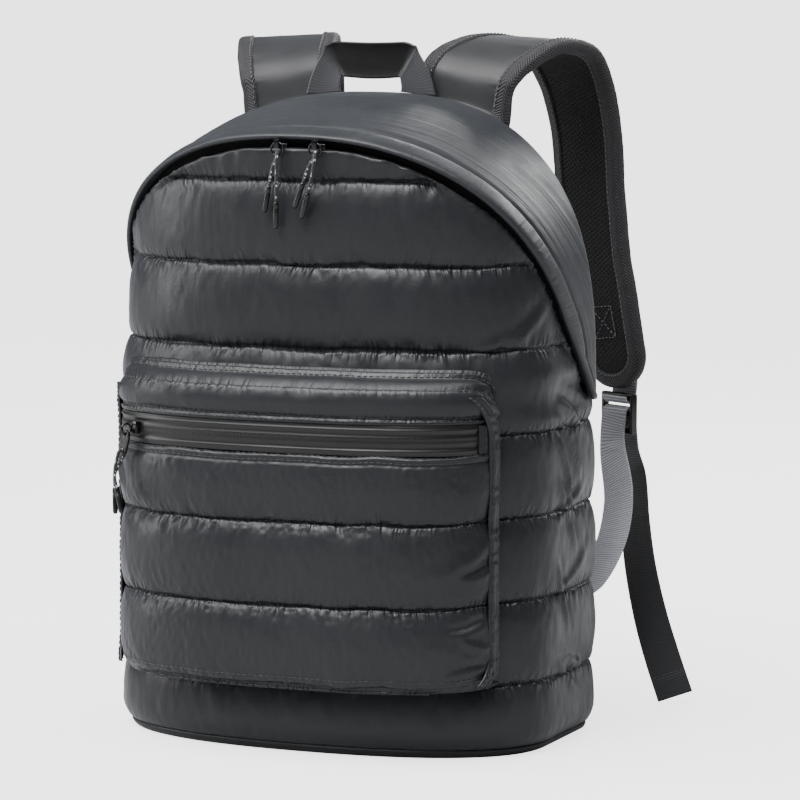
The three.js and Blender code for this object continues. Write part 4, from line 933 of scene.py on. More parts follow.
class BACKPACK_OT_body(bpy.types.Operator):
    """Quilted front and sides: one padded sheet, blown up between its seams"""

    bl_idname = "backpack.body"
    bl_label = "Quilted body"

    def execute(self, context):
        sizes = context.scene.backpack_sizes
        depth = sizes.seam_depth / MM
        low = BASE_THICK + TOUCH
        rows, cols = 108, 190
        shares, girth = even_shares(lambda s: np.stack(plan_point(s, 120.0, 0.0)[:2], -1), -1, 1, cols)
        heights = self.heights(low, rows)
        s, z = np.meshgrid(shares, heights)
        u = np.meshgrid(np.linspace(-girth / 2, girth / 2, cols), heights)[0]
        wander = noise(u, z * 0, 26, 10, 3) * 0.7 + noise(u, z * 0, 9, 10, 4) * 0.3
        top = self.top_edge(s)
        past = np.clip(z - top, 0, None)
        seam_at = np.min(np.abs(z[..., None] - BODY_SEAMS), -1)
        drawn = pillow(seam_at, SEAM_STEP / 2) * (1 - 0.85 * smooth((np.abs(s) - 0.9) / 0.09))
        face = plan_point(s, z, 0)[2]
        under = 2.6 * smooth((z - HOOD_FOOT + 3) / 4) * (1 - smooth((z - HOOD_FOOT - 8) / 16)) * (1 - face)
        close = 1 - 0.8 * smooth((z - top + 4) / 4) * smooth((z - HOOD_FOOT - 20) / 20)
        inset = (depth * drawn * (0.55 + 0.45 * face) + 1.2) * close + np.minimum(past, 9.0) + under
        grid = body_point(s, np.minimum(z, top), inset)
        grid[..., 2] += wander * np.exp(-(seam_at / 16) ** 2)
        sewn = ((seam_at < 0.6) | (past > 0) | (z < low + 0.5)).astype(float)
        sewn[:, [0, -1]] = 1
        grid = puffed(grid, sewn, sizes.slack, 4.0, 11)
        under_lip = np.clip(top - z, 0, None)
        u, z, past, under_lip = (finer(a[..., None], sizes.body_rows, sizes.body_columns)[..., 0]
                                 for a in (u, z, past, under_lip))
        grid = finer(grid, sizes.body_rows, sizes.body_columns)
        grid = folded(grid, u, z, BODY_FOLDS)
        height = seam_puckers(u, z, BODY_SEAMS, np.full(SEAM_COUNT, 0.6), 11, 6.4, 40)
        height += 1.1 * puckers(u, np.clip(under_lip, 0, None), 15, 7.5, 77) * smooth((z - LIP_HEIGHT) / 40)
        height += 0.5 * noise(u, z, 46, 26, 91) + 0.22 * noise(u + 0.4 * z, z, 14, 34, 92)
        grid = grid + normals(grid) * (height * (past < 2))[..., None]
        keep = np.minimum.reduce([past[:-1, :-1], past[:-1, 1:], past[1:, 1:], past[1:, :-1]]) < 9
        body = shell(surface("quilted_wall", grid, keep=keep, away=BAG_MIDDLE,
                             flat_uv=np.stack([u, z], -1)), 1.2)
        dress(body, finishes["quilt"], "quilted_nylon", "quilted_body")
        self.seam_stitches(grid, z, past, sizes)
        return {"FINISHED"}

    def heights(self, low, rows):
        """Row heights: closer near each seam, with a row on every seam."""
        levels = np.concatenate([[low], BODY_SEAMS, [PANEL_TOP - 1]])
        out = [levels[0]]
        for a, b in zip(levels[:-1], levels[1:]):
            count = max(4, round(rows * (b - a) / (levels[-1] - low)))
            t = np.linspace(0, 1, count + 1)[1:]
            out += list(a + (b - a) * (t - 0.11 * np.sin(2 * np.pi * t)))
        return np.array(out)

    def top_edge(self, s):
        """Height where the wall ends: under the flap's sloping plane, or the hood's foot at the back."""
        z = np.full(s.shape, 300.0)
        for _ in range(30):
            y = body_point(s, np.clip(z, 10, PANEL_TOP - 6), 0)[..., 1]
            drop = PANEL_DROP - 3.5 * smooth((-70 - y) / -30)
            z = 0.5 * z + 0.5 * (LIP_HEIGHT - drop - LIP_SLOPE * y)
        return np.clip(z, HOOD_FOOT + 6, PANEL_TOP - 6)

    def seam_stitches(self, grid, z, past, sizes):
        """Stitches in the bottom of every seam."""
        paths, ups = [], []
        up = normals(grid)
        middle = grid.shape[1] // 2
        for level in BODY_SEAMS:
            row = int(np.argmin(np.abs(z[:, middle] - level)))
            inside = past[row] < 2
            if inside.sum() > 10:
                paths.append(grid[row][inside])
                ups.append(up[row][inside])
        rows = stitches("seam_stitches", paths, ups, sizes.stitch / MM)
        dress(rows, finishes["thread"], "quilted_nylon")


class BACKPACK_OT_hood(bpy.types.Operator):
    """Hood panel, zip flap and the tape under it"""

    bl_idname = "backpack.hood"
    bl_label = "Hood and flap"

    def execute(self, context):
        cols, rows = 300, 64
        a, _ = even_shares(lambda s: np.stack(arch_point(s)[:2], -1), -1, 1, cols)
        _, reach = hood_reach(a)
        start = np.minimum(FLAP_WIDTH, 0.36 * reach) + SEAT
        share = np.linspace(0, 1, rows)[:, None]
        along = start + (reach - start) * share
        arc = np.linspace(-0.5, 0.5, cols)[None] * 900
        soft = noise(arc, along, 90, 60, 21) * 0.6 + noise(arc, along, 120, 7, 22) * 0.22
        soft += noise(arc, along, 9, 14, 23) * 0.3 * np.exp(-(along - start) / 7)
        soft *= smooth(share / 0.05) * smooth((1 - share) / 0.05)
        roll = 1.6 * smooth((along - start) / 5)
        grid = hood_at(a[None], along, soft - 1.2 + roll)
        flat_uv = np.stack([arc + 0 * along, along], -1)
        hood = shell(surface("hood_panel", grid, away=(0, 20, 200), flat_uv=flat_uv), 2.5)
        dress(hood, finishes["hood"], "smooth_nylon", "top_gusset")
        self.flap(a, reach)
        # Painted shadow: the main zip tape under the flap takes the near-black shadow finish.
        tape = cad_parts["main_zip_tape"]
        tape.data.materials.clear()
        tape.data.materials.append(finishes["shadow"])
        return {"FINISHED"}

    def flap(self, a, reach):
        """The flap: a padded band along the lip, its section a crowned bar with a soft front edge."""
        turn = np.linspace(0, 2 * np.pi, 33)[:-1]
        c, d = np.cos(turn), np.sin(turn)
        first = 0.5 - 0.5 * np.sign(c) * np.abs(c) ** 0.75
        second = np.sign(d) * np.abs(d) ** 0.8
        width = np.minimum(FLAP_WIDTH, 0.36 * reach)[:, None]
        crown = np.where(second > 0, 2.3, 2.9) * second - 0.4
        along = first[None] * width
        arc = np.linspace(-0.5, 0.5, len(a))[:, None] * 900
        pucker = noise(arc, along, 5.5, 30, 31) * 0.4 * np.exp(-(width - along) / 5)
        pucker = pucker + noise(arc, along, 40, 16, 32) * 0.45
        end = np.sqrt(np.clip(1 - ((np.abs(a)[:, None] - 0.975) / 0.025).clip(0, 1) ** 2, 0, 1))
        off = crown[None] * (0.3 + 0.7 * end) + pucker * np.clip(second, 0, 1)[None]
        grid = hood_at(a[:, None], np.clip(along, 0.01, None), off)
        flap = surface("zip_flap_roll", grid, wrap=True, caps=True)
        # The flap wears the hood nylon, painted paler as the light from above.
        dress(flap, finishes["hood"], "smooth_nylon", "zip_flap")


POCKET_SEAMS = np.array([POCKET_BOTTOM + 3, BODY_SEAMS[1], BODY_SEAMS[2], POCKET_ZIP_LOW])
POCKET_FOLDS = (
    {"start": (150, 96), "end": (112, 90), "width": 2.6, "rise": -1.0, "bow": 2},
    {"start": (156, 132), "end": (118, 126), "width": 3.0, "rise": -1.1, "bow": 2},
    {"start": (154, 74), "end": (124, 84), "width": 2.4, "rise": 1.0, "bow": 2},
    {"start": (154, 66), "end": (110, 60), "width": 2.4, "rise": -0.9, "bow": -2},
    {"start": (156, 148), "end": (96, 118), "width": 4.6, "rise": 0.9, "bow": 4},
    {"start": (-150, 190), "end": (-128, 164), "width": 4.0, "rise": 1.2, "bow": 2},
)


def corner_drop(u):
    """How far the pocket's top sinks at its ends."""
    return POCKET_CORNER_DROP * np.abs(u) ** 9


class BACKPACK_OT_pocket(bpy.types.Operator):
    """Front pocket: quilted panel, puffed top, coated zip and side bindings"""

    bl_idname = "backpack.pocket"
    bl_label = "Front pocket"

    def execute(self, context):
        sizes = context.scene.backpack_sizes
        self.stitch = sizes.stitch / MM
        self.paths, self.ups = [], []
        self.panel(sizes)
        self.top()
        self.zip()
        self.bindings()
        rows = stitches("pocket_stitches", self.paths, self.ups, self.stitch)
        dress(rows, finishes["thread"], "quilted_nylon")
        return {"FINISHED"}

    def sew(self, grid, row, low, high):
        """A row of stitches along a fractional row of a grid, between two shares of its width."""
        cols = np.linspace(low, high, 300) * (grid.shape[1] - 1)
        where = np.full(300, float(row))
        self.paths.append(sample_grid(grid, where, cols))
        self.ups.append(sample_grid(normals(grid), where, cols))

    def panel(self, sizes):
        """The lower panel: a floor that runs back to the body, then three bands between sewn rows."""
        cols, rows = 150, 62
        u, width = even_shares(lambda a: pocket_point(a, 120.0, 0.0), -1, 1, cols)
        levels = POCKET_SEAMS
        z = [levels[0]]
        for a, b in zip(levels[:-1], levels[1:]):
            t = np.linspace(0, 1, rows // 3)[1:]
            z += list(a + (b - a) * (t - 0.11 * np.sin(2 * np.pi * t)))
        z = np.array(z)
        gap = np.min(np.abs(z[:, None] - levels), 1)[:, None]
        drawn = pillow(gap, SEAM_STEP / 2) * np.where(z[:, None] > levels[-1] - 26, 0.6, 1.0)
        inset = 7.0 * drawn * np.cos(u[None] * np.pi / 2).clip(0, 1) ** 0.25 + 0.8
        face = pocket_point(u[None], z[:, None], inset)
        arc = np.broadcast_to(np.linspace(-width / 2, width / 2, cols), face.shape[:2])
        face[..., 2] += noise(arc, 0 * arc, 24, 10, 61) * 0.8 * np.exp(-(gap / 14) ** 2)
        front = pocket_point(u, POCKET_BOTTOM, 9.0)
        back = front.copy()
        back[:, 1] = body_front(front[:, 0]) - SEAT
        floor = np.stack([back + (front - back) * t for t in (0.0, 0.5, 1.0)])
        hem = face[0] * 0.45 + front * 0.55
        hem[:, 2] = POCKET_BOTTOM - 0.2
        grid = np.concatenate([floor, hem[None], face])
        sewn = np.zeros(grid.shape[:2])
        sewn[:5] = 1
        sewn[4 + np.nonzero(gap[:, 0] < 0.4)[0]] = 1
        sewn[:, [0, -1]] = 1
        grid = puffed(grid, sewn, sizes.slack, 3.2, 12)
        fine_rows, fine_cols = 150, 260
        v = np.concatenate([np.full(4, POCKET_BOTTOM), z])[:, None]
        v = np.broadcast_to(v, grid.shape[:2])
        arc = np.broadcast_to(arc[:1], grid.shape[:2])
        v, arc = (finer(a[..., None], fine_rows, fine_cols)[..., 0] for a in (v, arc))
        grid = finer(grid, fine_rows, fine_cols)
        grid = folded(grid, arc, v, POCKET_FOLDS)
        height = 0.5 * noise(arc, v, 42, 24, 63) + 0.2 * noise(arc + 0.4 * v, v, 14, 34, 64)
        height += seam_puckers(arc, v, levels, (0.55, 0.55, 0.55, 0.275), 10.0, 6.0, 140)
        side = np.clip(width / 2 - np.abs(arc), 0, None)
        height += 0.8 * puckers(v, side, 9.0, 5.0, 190)
        height *= smooth((v - POCKET_BOTTOM - 1) / 4)
        below = levels[-1] - v
        hem_ridge = 0.9 * np.exp(-((below - 2.0) / 1.6) ** 2) - 0.7 * np.exp(-(below - 5.2) ** 2)
        grid = grid + normals(grid) * (height + hem_ridge)[..., None]
        panel = shell(surface("pocket_quilted_panel", grid, away=BAG_MIDDLE,
                              flat_uv=np.stack([arc, v], -1)), 1.2)
        dress(panel, finishes["quilt"], "quilted_nylon", "pocket_panel")
        row_at = lambda level: float(np.interp(level, v[:, 0], np.arange(fine_rows)))
        for level in (levels[0] + 5, levels[1], levels[2], levels[3] - 0.8, levels[3] - 4.0):
            self.sew(grid, row_at(level), 0.03, 0.97)

    def top(self):
        """The puffed band over the zip, a sewn groove, the top face behind it and a double welt."""
        cols = 300
        u, width = even_shares(lambda a: pocket_point(a, 230.0, 0.0), -1, 1, cols)
        edge_top = POCKET_EDGE_TOP - corner_drop(u)
        back_top = POCKET_BACK_TOP - 1.6 * corner_drop(u)
        rows, marks = [], []
        for t in np.linspace(0, 1, 22):
            z = POCKET_ZIP_HIGH + (edge_top - POCKET_ZIP_HIGH) * t
            hem = 1.2 * np.exp(-((t - 0.06) / 0.07) ** 2) - 0.8 * np.exp(-((t - 0.22) / 0.05) ** 2)
            puff = 3.0 * np.sin(np.pi * np.clip((t - 0.2) / 0.8, 0, 1)) ** 0.7
            rows.append(pocket_point(u, z, 3.2 - hem - puff))
            marks.append(t)
        for t in np.linspace(0.05, 1, 30):
            front = pocket_point(u, edge_top, 3.4)
            back = np.stack([front[:, 0], body_front(front[:, 0]) - SEAT, back_top], -1)
            puff = 2.6 * np.sin(np.pi * np.clip(t / 0.62, 0, 1)) ** 0.7
            welt = 2.4 * (np.exp(-((t - 0.76) / 0.06) ** 2) + np.exp(-((t - 0.92) / 0.06) ** 2))
            point = front + (back - front) * t
            point[:, 2] += puff + welt - 1.2
            point[:, 1] -= 0.4 * puff
            rows.append(point)
            marks.append(1 + t)
        grid = np.stack(rows)
        marks = np.array(marks)[:, None] * 22.0
        arc, marks = np.broadcast_arrays(np.linspace(-width / 2, width / 2, cols), marks)
        height = 0.5 * noise(arc, marks, 30, 12, 71)
        height += seam_puckers(arc, marks, (4.8, 22.5, 36.5), (0.4, 0.4, 0.4), 7.0, 5.6, 240)
        grid = grid + normals(grid) * (height * smooth(marks / 4))[..., None]
        top = shell(surface("pocket_puffed_top", grid, away=BAG_MIDDLE,
                            flat_uv=np.stack([arc, marks], -1)), 1.2)
        dress(top, finishes["band"], "quilted_nylon", "pocket_top")
        for row in (2.0, 4.6, 21.6, 41.5, 46.5):
            self.sew(grid, row, 0.04, 0.96)

    def zip(self):
        """Two coated tapes that meet over a coil, which stands proud in the middle as fine cross ridges."""
        cols = 760
        u, width = even_shares(lambda a: pocket_point(a, 211.0, 3.0), -0.985, 0.985, cols)
        arc = np.linspace(-width / 2, width / 2, cols)
        half = (POCKET_ZIP_HIGH - POCKET_ZIP_LOW) / 2
        z = np.linspace(-half + 0.2, half - 0.2, 26)[:, None]
        coil = np.exp(-(z / 3.0) ** 6)
        ridges = 0.5 + 0.5 * np.cos(arc[None] * 2 * np.pi / 1.7)
        step = 0.9 * np.exp(-((np.abs(z) - 6.8) / 0.9) ** 2)
        off = 0.8 * coil * (0.7 + 0.3 * ridges) - 0.5 * np.exp(-(z / 0.35) ** 2) + step
        off = off + 0.3 * noise(arc[None], z, 30, 9, 81)
        grid = pocket_point(u[None], POCKET_ZIP_LOW + half + z, 3.0 - off)
        tape = shell(surface("pocket_zip", grid, away=(0, BACK_DEPTH, 211)), 0.9)
        dress(tape, finishes["tape"], "coated_tape", "pocket_zip_tape")
        end = (u > 0.80) & (u < 0.93)
        flat = pocket_point(u[end][None], POCKET_ZIP_LOW + half + z, 1.4)
        stop = shell(surface("pocket_zip_end", flat[1:-1], away=(0, BACK_DEPTH, 211)), 1.0)
        dress(stop, finishes["base"], "dark_nylon")
        line = flat[3:-3, 14]
        self.paths.append(line)
        self.ups.append(np.broadcast_to([0.3, -1.0, 0.0], line.shape).copy())

    def bindings(self):
        """The side bindings: a folded tape over each side seam, drawn up in steps by its two sewn rows."""
        z = np.linspace(POCKET_BOTTOM + 3, POCKET_EDGE_TOP - 5, 190)[:, None]
        share = np.linspace(0, 1, 13)[None]
        bend = 0.17 * np.clip((z - 206) / 32, 0, 1) ** 2.2 + 0.10 * np.clip((72 - z) / 20, 0, 1) ** 2.2
        u = 0.88 + 0.112 * share - bend
        x, y = pocket_plan(u, 0)
        next_x, next_y = pocket_plan(u + 0.003, 0)
        out = unit(np.stack([next_y - y, x - next_x, 0 * x], -1))
        crown = 2.6 * (1 - np.abs(2 * share - 1) ** 3) - 0.7 * np.exp(-((share - 0.5) / 0.1) ** 2)
        ladder = 0.5 * noise(z, share * 9.5, 3.0, 14, 95) * (1 - np.abs(2 * share - 1) ** 2)
        sway = 0.6 * noise(z, 0 * z, 30, 10, 96)
        off = (0.75 * crown + ladder)[..., None] - 1.0
        base = np.stack([x + 0 * z, y + 0 * z, z + 0 * x], -1)
        grid = base + out * off
        grid[..., 0] += sway
        wall = body_front(np.minimum(np.abs(grid[..., 0]), HALF_WIDTH))
        grid[..., 1] = np.minimum(grid[..., 1], wall - SEAT + 0.4)
        strip = shell(surface("pocket_side_binding_right", grid, away=(0, 0, 150)), 1.2)
        other = mirrored("pocket_side_binding_left", strip)
        dress(strip, finishes["quilt"], "binding_tape", "pocket_binding_right")
        dress(other, finishes["quilt"], "binding_tape", "pocket_binding_left")
        for column in (2.4, 9.6):
            where = (np.arange(190.0), np.full(190, column))
            path, lift = sample_grid(grid, *where), sample_grid(normals(grid), *where)
            self.paths += [path, path * MIRROR]
            self.ups += [lift, lift * MIRROR]


MESH_CHANNEL_AT = 46
BACK_TOP = 370


class BACKPACK_OT_back(bpy.types.Operator):
    """Back panel of padded spacer mesh, the welt round it, and the base"""

    bl_idname = "backpack.back"
    bl_label = "Back and base"

    def execute(self, context):
        gap = BACK_CORNER + TOUCH
        foot = np.stack([np.full(60, HALF_WIDTH - gap), np.linspace(BASE_THICK + TOUCH, HOOD_FOOT, 60)], 1)
        x, z, out_x, out_z = arch_point(np.linspace(0.999, 0.03, 90))
        line = np.concatenate([foot, np.stack([x - out_x * gap, z - out_z * gap], 1)])
        k = np.linspace(-1, 1, 121)
        k = np.sign(k) * (1 - (1 - np.abs(k)) ** 1.4)
        x = line[:, :1] * k[None]
        z = line[:, 1:] + 0 * x
        rim = np.minimum(line[:, :1] - np.abs(x), np.minimum(z - BASE_THICK, line[-1, 1] - z + 4))
        near = smooth(rim / 16)
        channel = 3.0 * np.exp(-((np.abs(x) - MESH_CHANNEL_AT) / 5) ** 2)
        channel *= smooth((z - 30) / 20) * smooth((BACK_TOP - z) / 20)
        grid = np.stack([x, back_at(z) + (4.0 * near - 3.0) - channel * near - 0.4, z], -1)
        panel = shell(surface("back_mesh_panel", grid, away=(0, 0, 200), flat_uv=np.stack([x, z], -1)), 2.5)
        dress(panel, finishes["mesh"], "air_mesh", "back_panel")
        welt = spaced(np.concatenate([line, line[::-1] * [-1, 1]]), 420)
        self.tube("back_welt", np.stack([welt[:, 0], back_at(welt[:, 1]) - 0.4, welt[:, 1]], 1), 2.4)
        self.base()
        return {"FINISHED"}

    def tube(self, name, path, radius):
        """A round piping along a line in the back's plane."""
        turn = np.linspace(0, 2 * np.pi, 13)[:-1]
        along = unit(np.gradient(path, axis=0))
        out = unit(np.cross(along, np.array([0, 1.0, 0])))
        grid = sweep(path, out, np.broadcast_to([0, 1.0, 0], path.shape),
                     radius * np.stack([np.cos(turn), np.sin(turn)], 1))
        dress(surface(name, grid, wrap=True, caps=True), finishes["piping"], "binding_tape")

    def base(self):
        """The base plate: the bag's plan, drawn in and rounded at its lower edge."""
        shares, _ = even_shares(lambda s: np.stack(plan_point(s, 0.0, 0.0)[:2], -1), -1, 1, 260)
        z = BASE_THICK * (1 - np.cos(np.linspace(0, np.pi / 2, 8)))
        inset = 7 + 7 * (1 - np.sin(np.linspace(0, np.pi / 2, 8)))
        rows = []
        for level, near in zip(z, inset):
            x, y, _ = plan_point(shares, 0.0, near)
            rows.append(np.stack([x, y, level + 0 * x], -1))
        base = surface("base_plate", np.stack(rows), wrap=True, caps=True)
        dress(base, finishes["base"], "dark_nylon", "base_panel")


HANDLE_HALF = 47
HANDLE_PLACE = 48
HANDLE_LOW = 437
HANDLE_LEAN = 13


class BACKPACK_OT_handle(bpy.types.Operator):
    """Haul handle: one webbing strip folded over at both top corners"""

    bl_idname = "backpack.handle"
    bl_label = "Haul handle"

    def execute(self, context):
        high = HANDLE_LOW + WEB_WIDTH - 0.8
        foot_z = edge("haul_handle", 0, 2) + 0.2
        side = HANDLE_HALF - WEB_WIDTH
        inner = np.array([[side, foot_z + 2.5], [side + 0.5, 430], [side - 0.5, HANDLE_LOW + 0.5]])
        outer = np.array([[HANDLE_HALF, foot_z], [HANDLE_HALF - 3.0, 436], [HANDLE_HALF - HANDLE_LEAN, high]])
        t = np.linspace(0, 1, 34)
        leg_in, leg_out = spaced(curve(inner, t), 34), spaced(curve(outer, t), 34)
        w = np.linspace(0, 1, 26)[None, :, None]
        leg = leg_in[:, None] * (1 - w) + leg_out[:, None] * w
        run = np.linspace(0, 1, 40)[1:, None, None]
        across = leg[-1] * (1 - run) + leg[-1] * [-1, 1] * run
        whole = np.concatenate([leg, across, (leg[::-1] * [-1, 1])[1:]])
        rows = len(whole)
        place = np.arange(rows)
        fold = (smooth((place - 30) / 6.0) * smooth((rows - 31 - place) / 6.0))[:, None]
        wave = w[0, :, 0][None]
        y = HANDLE_PLACE - 1.9 + 2.6 * fold + 0 * wave
        y = y + 1.1 * (1 - fold) * np.sin(np.pi * wave)
        y = y - fold * 3.2 * (wave - 0.35) ** 2 * 2.2
        arc = lengths(whole[:, 13])
        grid = np.stack([whole[..., 0], y, whole[..., 1]], -1)
        corner = np.exp(-((np.abs(grid[..., 0]) - HANDLE_HALF + HANDLE_LEAN) / 5.5) ** 2) * wave ** 4
        grid[..., 2] -= 3.4 * corner
        grid[..., 0] -= 1.2 * np.sign(grid[..., 0]) * corner
        sag = np.sin(np.pi * np.clip((place - 32) / (rows - 65), 0, 1))[:, None]
        grid[..., 2] -= 1.4 * sag * fold
        from_middle = np.hypot(arc - arc[-1] / 2, 4)[:, None]
        uv = np.stack(np.broadcast_arrays(wave * WEB_WIDTH, from_middle), -1)
        strap = shell(surface("folded_handle", grid, away=(0, 200, 440), flat_uv=uv), 1.5)
        dress(strap, finishes["handle"], "webbing", "haul_handle")
        return {"FINISHED"}


STRAP_ROUTE = (
    {"at": (61, 55.5, 420), "out": (1, 0, 0), "half": 0.97},
    {"at": (67, 61, 440), "out": (1, -0.04, -0.16), "half": 0.97},
    {"at": (78, 85, 454), "out": (0.98, -0.16, -0.12), "half": 0.98},
    {"at": (90, 114, 459), "out": (0.95, -0.28, -0.04), "half": 1},
    {"at": (100, 140, 452), "out": (0.92, -0.38, 0), "half": 1},
    {"at": (106, 158, 430), "out": (0.88, -0.46, 0), "half": 1},
    {"at": (110, 168, 397), "out": (0.86, -0.5, 0), "half": 0.98},
    {"at": (112, 171, 358), "out": (0.86, -0.5, 0), "half": 0.96},
    {"at": (116, 173, 315), "out": (0.86, -0.5, 0), "half": 0.94},
    {"at": (122, 175, 280), "out": (0.86, -0.5, 0.02), "half": 0.92},
    {"at": (128, 177, 246), "out": (0.86, -0.5, 0.04), "half": 0.88},
)
STRAP_HALF = 36
STRAP_THICK = 9
STRAP_EDGE = 4.5
TAPE_SECTION = np.array([[-6.6, 4.4], [-6.2, 5.1], [-3, 5.0], [0.5, 4.8], [2.6, 4.2], [3.9, 3.0], [4.5, 1.2]])


def hood_surface(x, y):
    """Height of the hood over a place near its back corner."""
    rise = ARCH_TOP - ARCH_START
    top = lambda a: ARCH_START + bowed(rise, np.minimum(1, np.abs(a) / HALF_WIDTH), ARCH_POWER)
    past = np.clip(y - (back_at(top(x)) - BACK_CORNER), 0, BACK_CORNER)
    drop = BACK_CORNER - np.sqrt(BACK_CORNER ** 2 - past ** 2)
    return top(x) - drop * np.hypot(1, top(x + 0.5) - top(x - 0.5))


def strap_half(t):
    """The strap's half width at share t of its length."""
    halves = [row["half"] for row in STRAP_ROUTE]
    return STRAP_HALF * np.interp(t, np.linspace(0, 1, len(halves)), halves)


def strap_frame(t):
    """Middle line, outward direction across and outer face direction of the strap at shares t."""
    at = [row["at"] for row in STRAP_ROUTE]
    middle = curve(at, t)
    along = unit(curve(at, np.clip(t + 1e-3, 0, 1)) - curve(at, np.clip(t - 1e-3, 0, 1)))
    out = curve([row["out"] for row in STRAP_ROUTE], t)
    out = unit(out - (out * along).sum(-1, keepdims=True) * along)
    return middle, along, out, unit(np.cross(out, along))


def strap_point(t, across, off, below=0.0):
    """Points of the strap at shares t, and at distances across, off its middle and past its end."""
    middle, _, out, face = strap_frame(t)
    down = strap_frame(np.array([1.0]))[1][0]
    point = middle[:, None] + across[..., None] * out[:, None] + off[..., None] * face[:, None]
    point = point + np.broadcast_to(below, off.shape)[..., None] * down
    near = smooth(1 - t / 0.07)[:, None]
    level = hood_surface(point[..., 0], point[..., 1]) + 0.4
    point[..., 2] = point[..., 2] * (1 - near) + level * near
    return point


class BACKPACK_OT_straps(bpy.types.Operator):
    """Shoulder straps: padded nylon face, mesh lining, herringbone binding and its stitching"""

    bl_idname = "backpack.straps"
    bl_label = "Shoulder straps"

    def execute(self, context):
        t = np.concatenate([np.linspace(0, 1, 170), np.ones(16)])
        turn = np.concatenate([np.zeros(170), np.sin(np.linspace(0.05, 1.5, 16))])
        half = (strap_half(t) - STRAP_EDGE - TOUCH) * np.sqrt(1 - turn ** 2)
        below = (strap_half(np.array([1.0]))[0] - STRAP_EDGE - TOUCH) * 0.8 * turn
        w = np.linspace(-1, 1, 41)[None]
        arc = np.linspace(0, 430, len(t))[:, None]
        crown = STRAP_THICK / 2 * (0.72 + 0.28 * (1 - np.abs(w) ** 4))
        soft = 0.35 * noise(arc, w * 32, 34, 26, 301)
        gather = sum(0.9 * puckers(arc + 0 * w, (1 - way * w) * 30 + 0 * arc, 8, 5, 310 + way)
                     for way in (-1, 1))
        for name, sign, slot, finish, puff in (("outer", 1, "smooth_nylon", "strap", soft + gather),
                                               ("lining", -1, "air_mesh", "mesh", 0.5 * soft)):
            skin = strap_point(t, w * half[:, None], sign * (crown + puff) + 0 * arc, below[:, None])
            back = strap_point(t, w * half[:, None], 0.25 * sign + 0 * (w + arc), below[:, None])
            grid = np.concatenate([skin, back[:, ::-1]], 1)
            piece = surface(f"strap_{name}_right", grid, wrap=True, caps=True)
            pair = {"right": piece, "left": mirrored(f"strap_{name}_left", piece)}
            for side, half_pair in pair.items():
                dress(half_pair, finishes[finish], slot)
                if sign > 0:
                    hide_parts(f"shoulder_strap_{side}")
        self.binding()
        return {"FINISHED"}

    def binding(self):
        """The binding: a folded tape swept down one edge, round the end and up the other."""
        steps = np.linspace(0, 1, 170)
        turns = np.radians(np.linspace(-86, 86, 41))
        t = np.concatenate([steps, np.ones(41), steps[::-1]])
        side = np.concatenate([np.full(170, -1.0), np.sin(turns), np.full(170, 1.0)])
        lower = np.concatenate([np.zeros(170), np.cos(turns), np.zeros(170)])
        half = strap_half(t) - STRAP_EDGE - TOUCH
        upper = TAPE_SECTION
        section = np.concatenate([upper, upper[::-1] * [1, -1], [[-6.6, -2], [-6.6, 2]]])
        out, off = section[None, :, 0], section[None, :, 1]
        arc = np.linspace(0, 860, len(t))[:, None]
        off = off + 0.16 * noise(arc, off, 3.0, 20, 333) * np.sign(off)
        out = out + 0.35 * noise(arc, 0 * arc, 16, 20, 334)
        grid = strap_point(t, side[:, None] * (half[:, None] + out), off + 0 * arc,
                           lower[:, None] * (half[:, None] * 0.8 + out))
        tape = surface("strap_tape_right", grid, wrap=True, caps=True)
        dress(tape, finishes["binding"], "binding_tape", "strap_binding_right")
        dress(mirrored("strap_tape_left", tape), finishes["binding"], "binding_tape", "strap_binding_left")
        face = strap_frame(t)[3]
        paths, ups = [], []
        for column, sign in ((1.35, 1), (11.65, -1)):
            path = sample_grid(grid, np.arange(len(t), dtype=float), np.full(len(t), column))[6:-6]
            lift = (face * sign)[6:-6]
            paths.append(path)
            ups.append(lift)
        path, lift = self.tack(-1)
        paths.append(path)
        ups.append(lift)
        rows = stitches("strap_stitches", *both_sides(paths, ups), 2.4, 1.2, 0.7, 0.3)
        dress(rows, finishes["pale_thread"], "binding_tape")

    def tack(self, sign):
        """A box of stitches with a cross in it, near the strap's end on its inner face."""
        box = np.array([[-1, 0], [1, 0], [1, 2], [-1, 2], [-1, 0], [1, 2], [1, 0], [-1, 2.0]]) * 11
        line = spaced(box, 120)
        middle, along, out, face = (a[0] for a in strap_frame(np.array([0.93])))
        path = middle + line[:, :1] * out + (line[:, 1:] - 8) * along + face * sign * (STRAP_THICK / 2 + 0.1)
        return path, np.broadcast_to(face * sign, path.shape).copy()


LOCK_PLACE = np.array([131.5, 179, 203.0])
LOCK_ACROSS = np.array([0.86, -0.5, 0]) / np.hypot(0.86, 0.5)
LOCK_FACE = np.cross(LOCK_ACROSS, [0, 0, -1.0])
LOCK_HEIGHT = 28
LOCK_BAR = 4
LOCK_THICK = 5
ANCHOR_X, ANCHOR_Z = 128, 74
WEB_RISE = (((139, 100, 96), (0.97, -0.24, 0)), ((145, 124, 118), (0.93, -0.36, 0)),
            ((141, 152, 147), (0.89, -0.45, 0)))
WEB_TAIL = (((139, 187, 160), (0.9, -0.43, 0)), ((143, 182, 128), (0.94, -0.34, 0)),
            ((148, 178, 98), (0.98, -0.2, 0)), ((156, 178, 62), (1, 0, 0.03)),
            ((165, 179, 32), (0.98, 0.2, 0.02)), ((174, 180, 6), (0.95, 0.3, 0)))


def at_lock(up, out):
    """A point beside the ladder lock: up from its middle, and out from its face."""
    return LOCK_PLACE + np.array([0, 0, up]) + LOCK_FACE * out


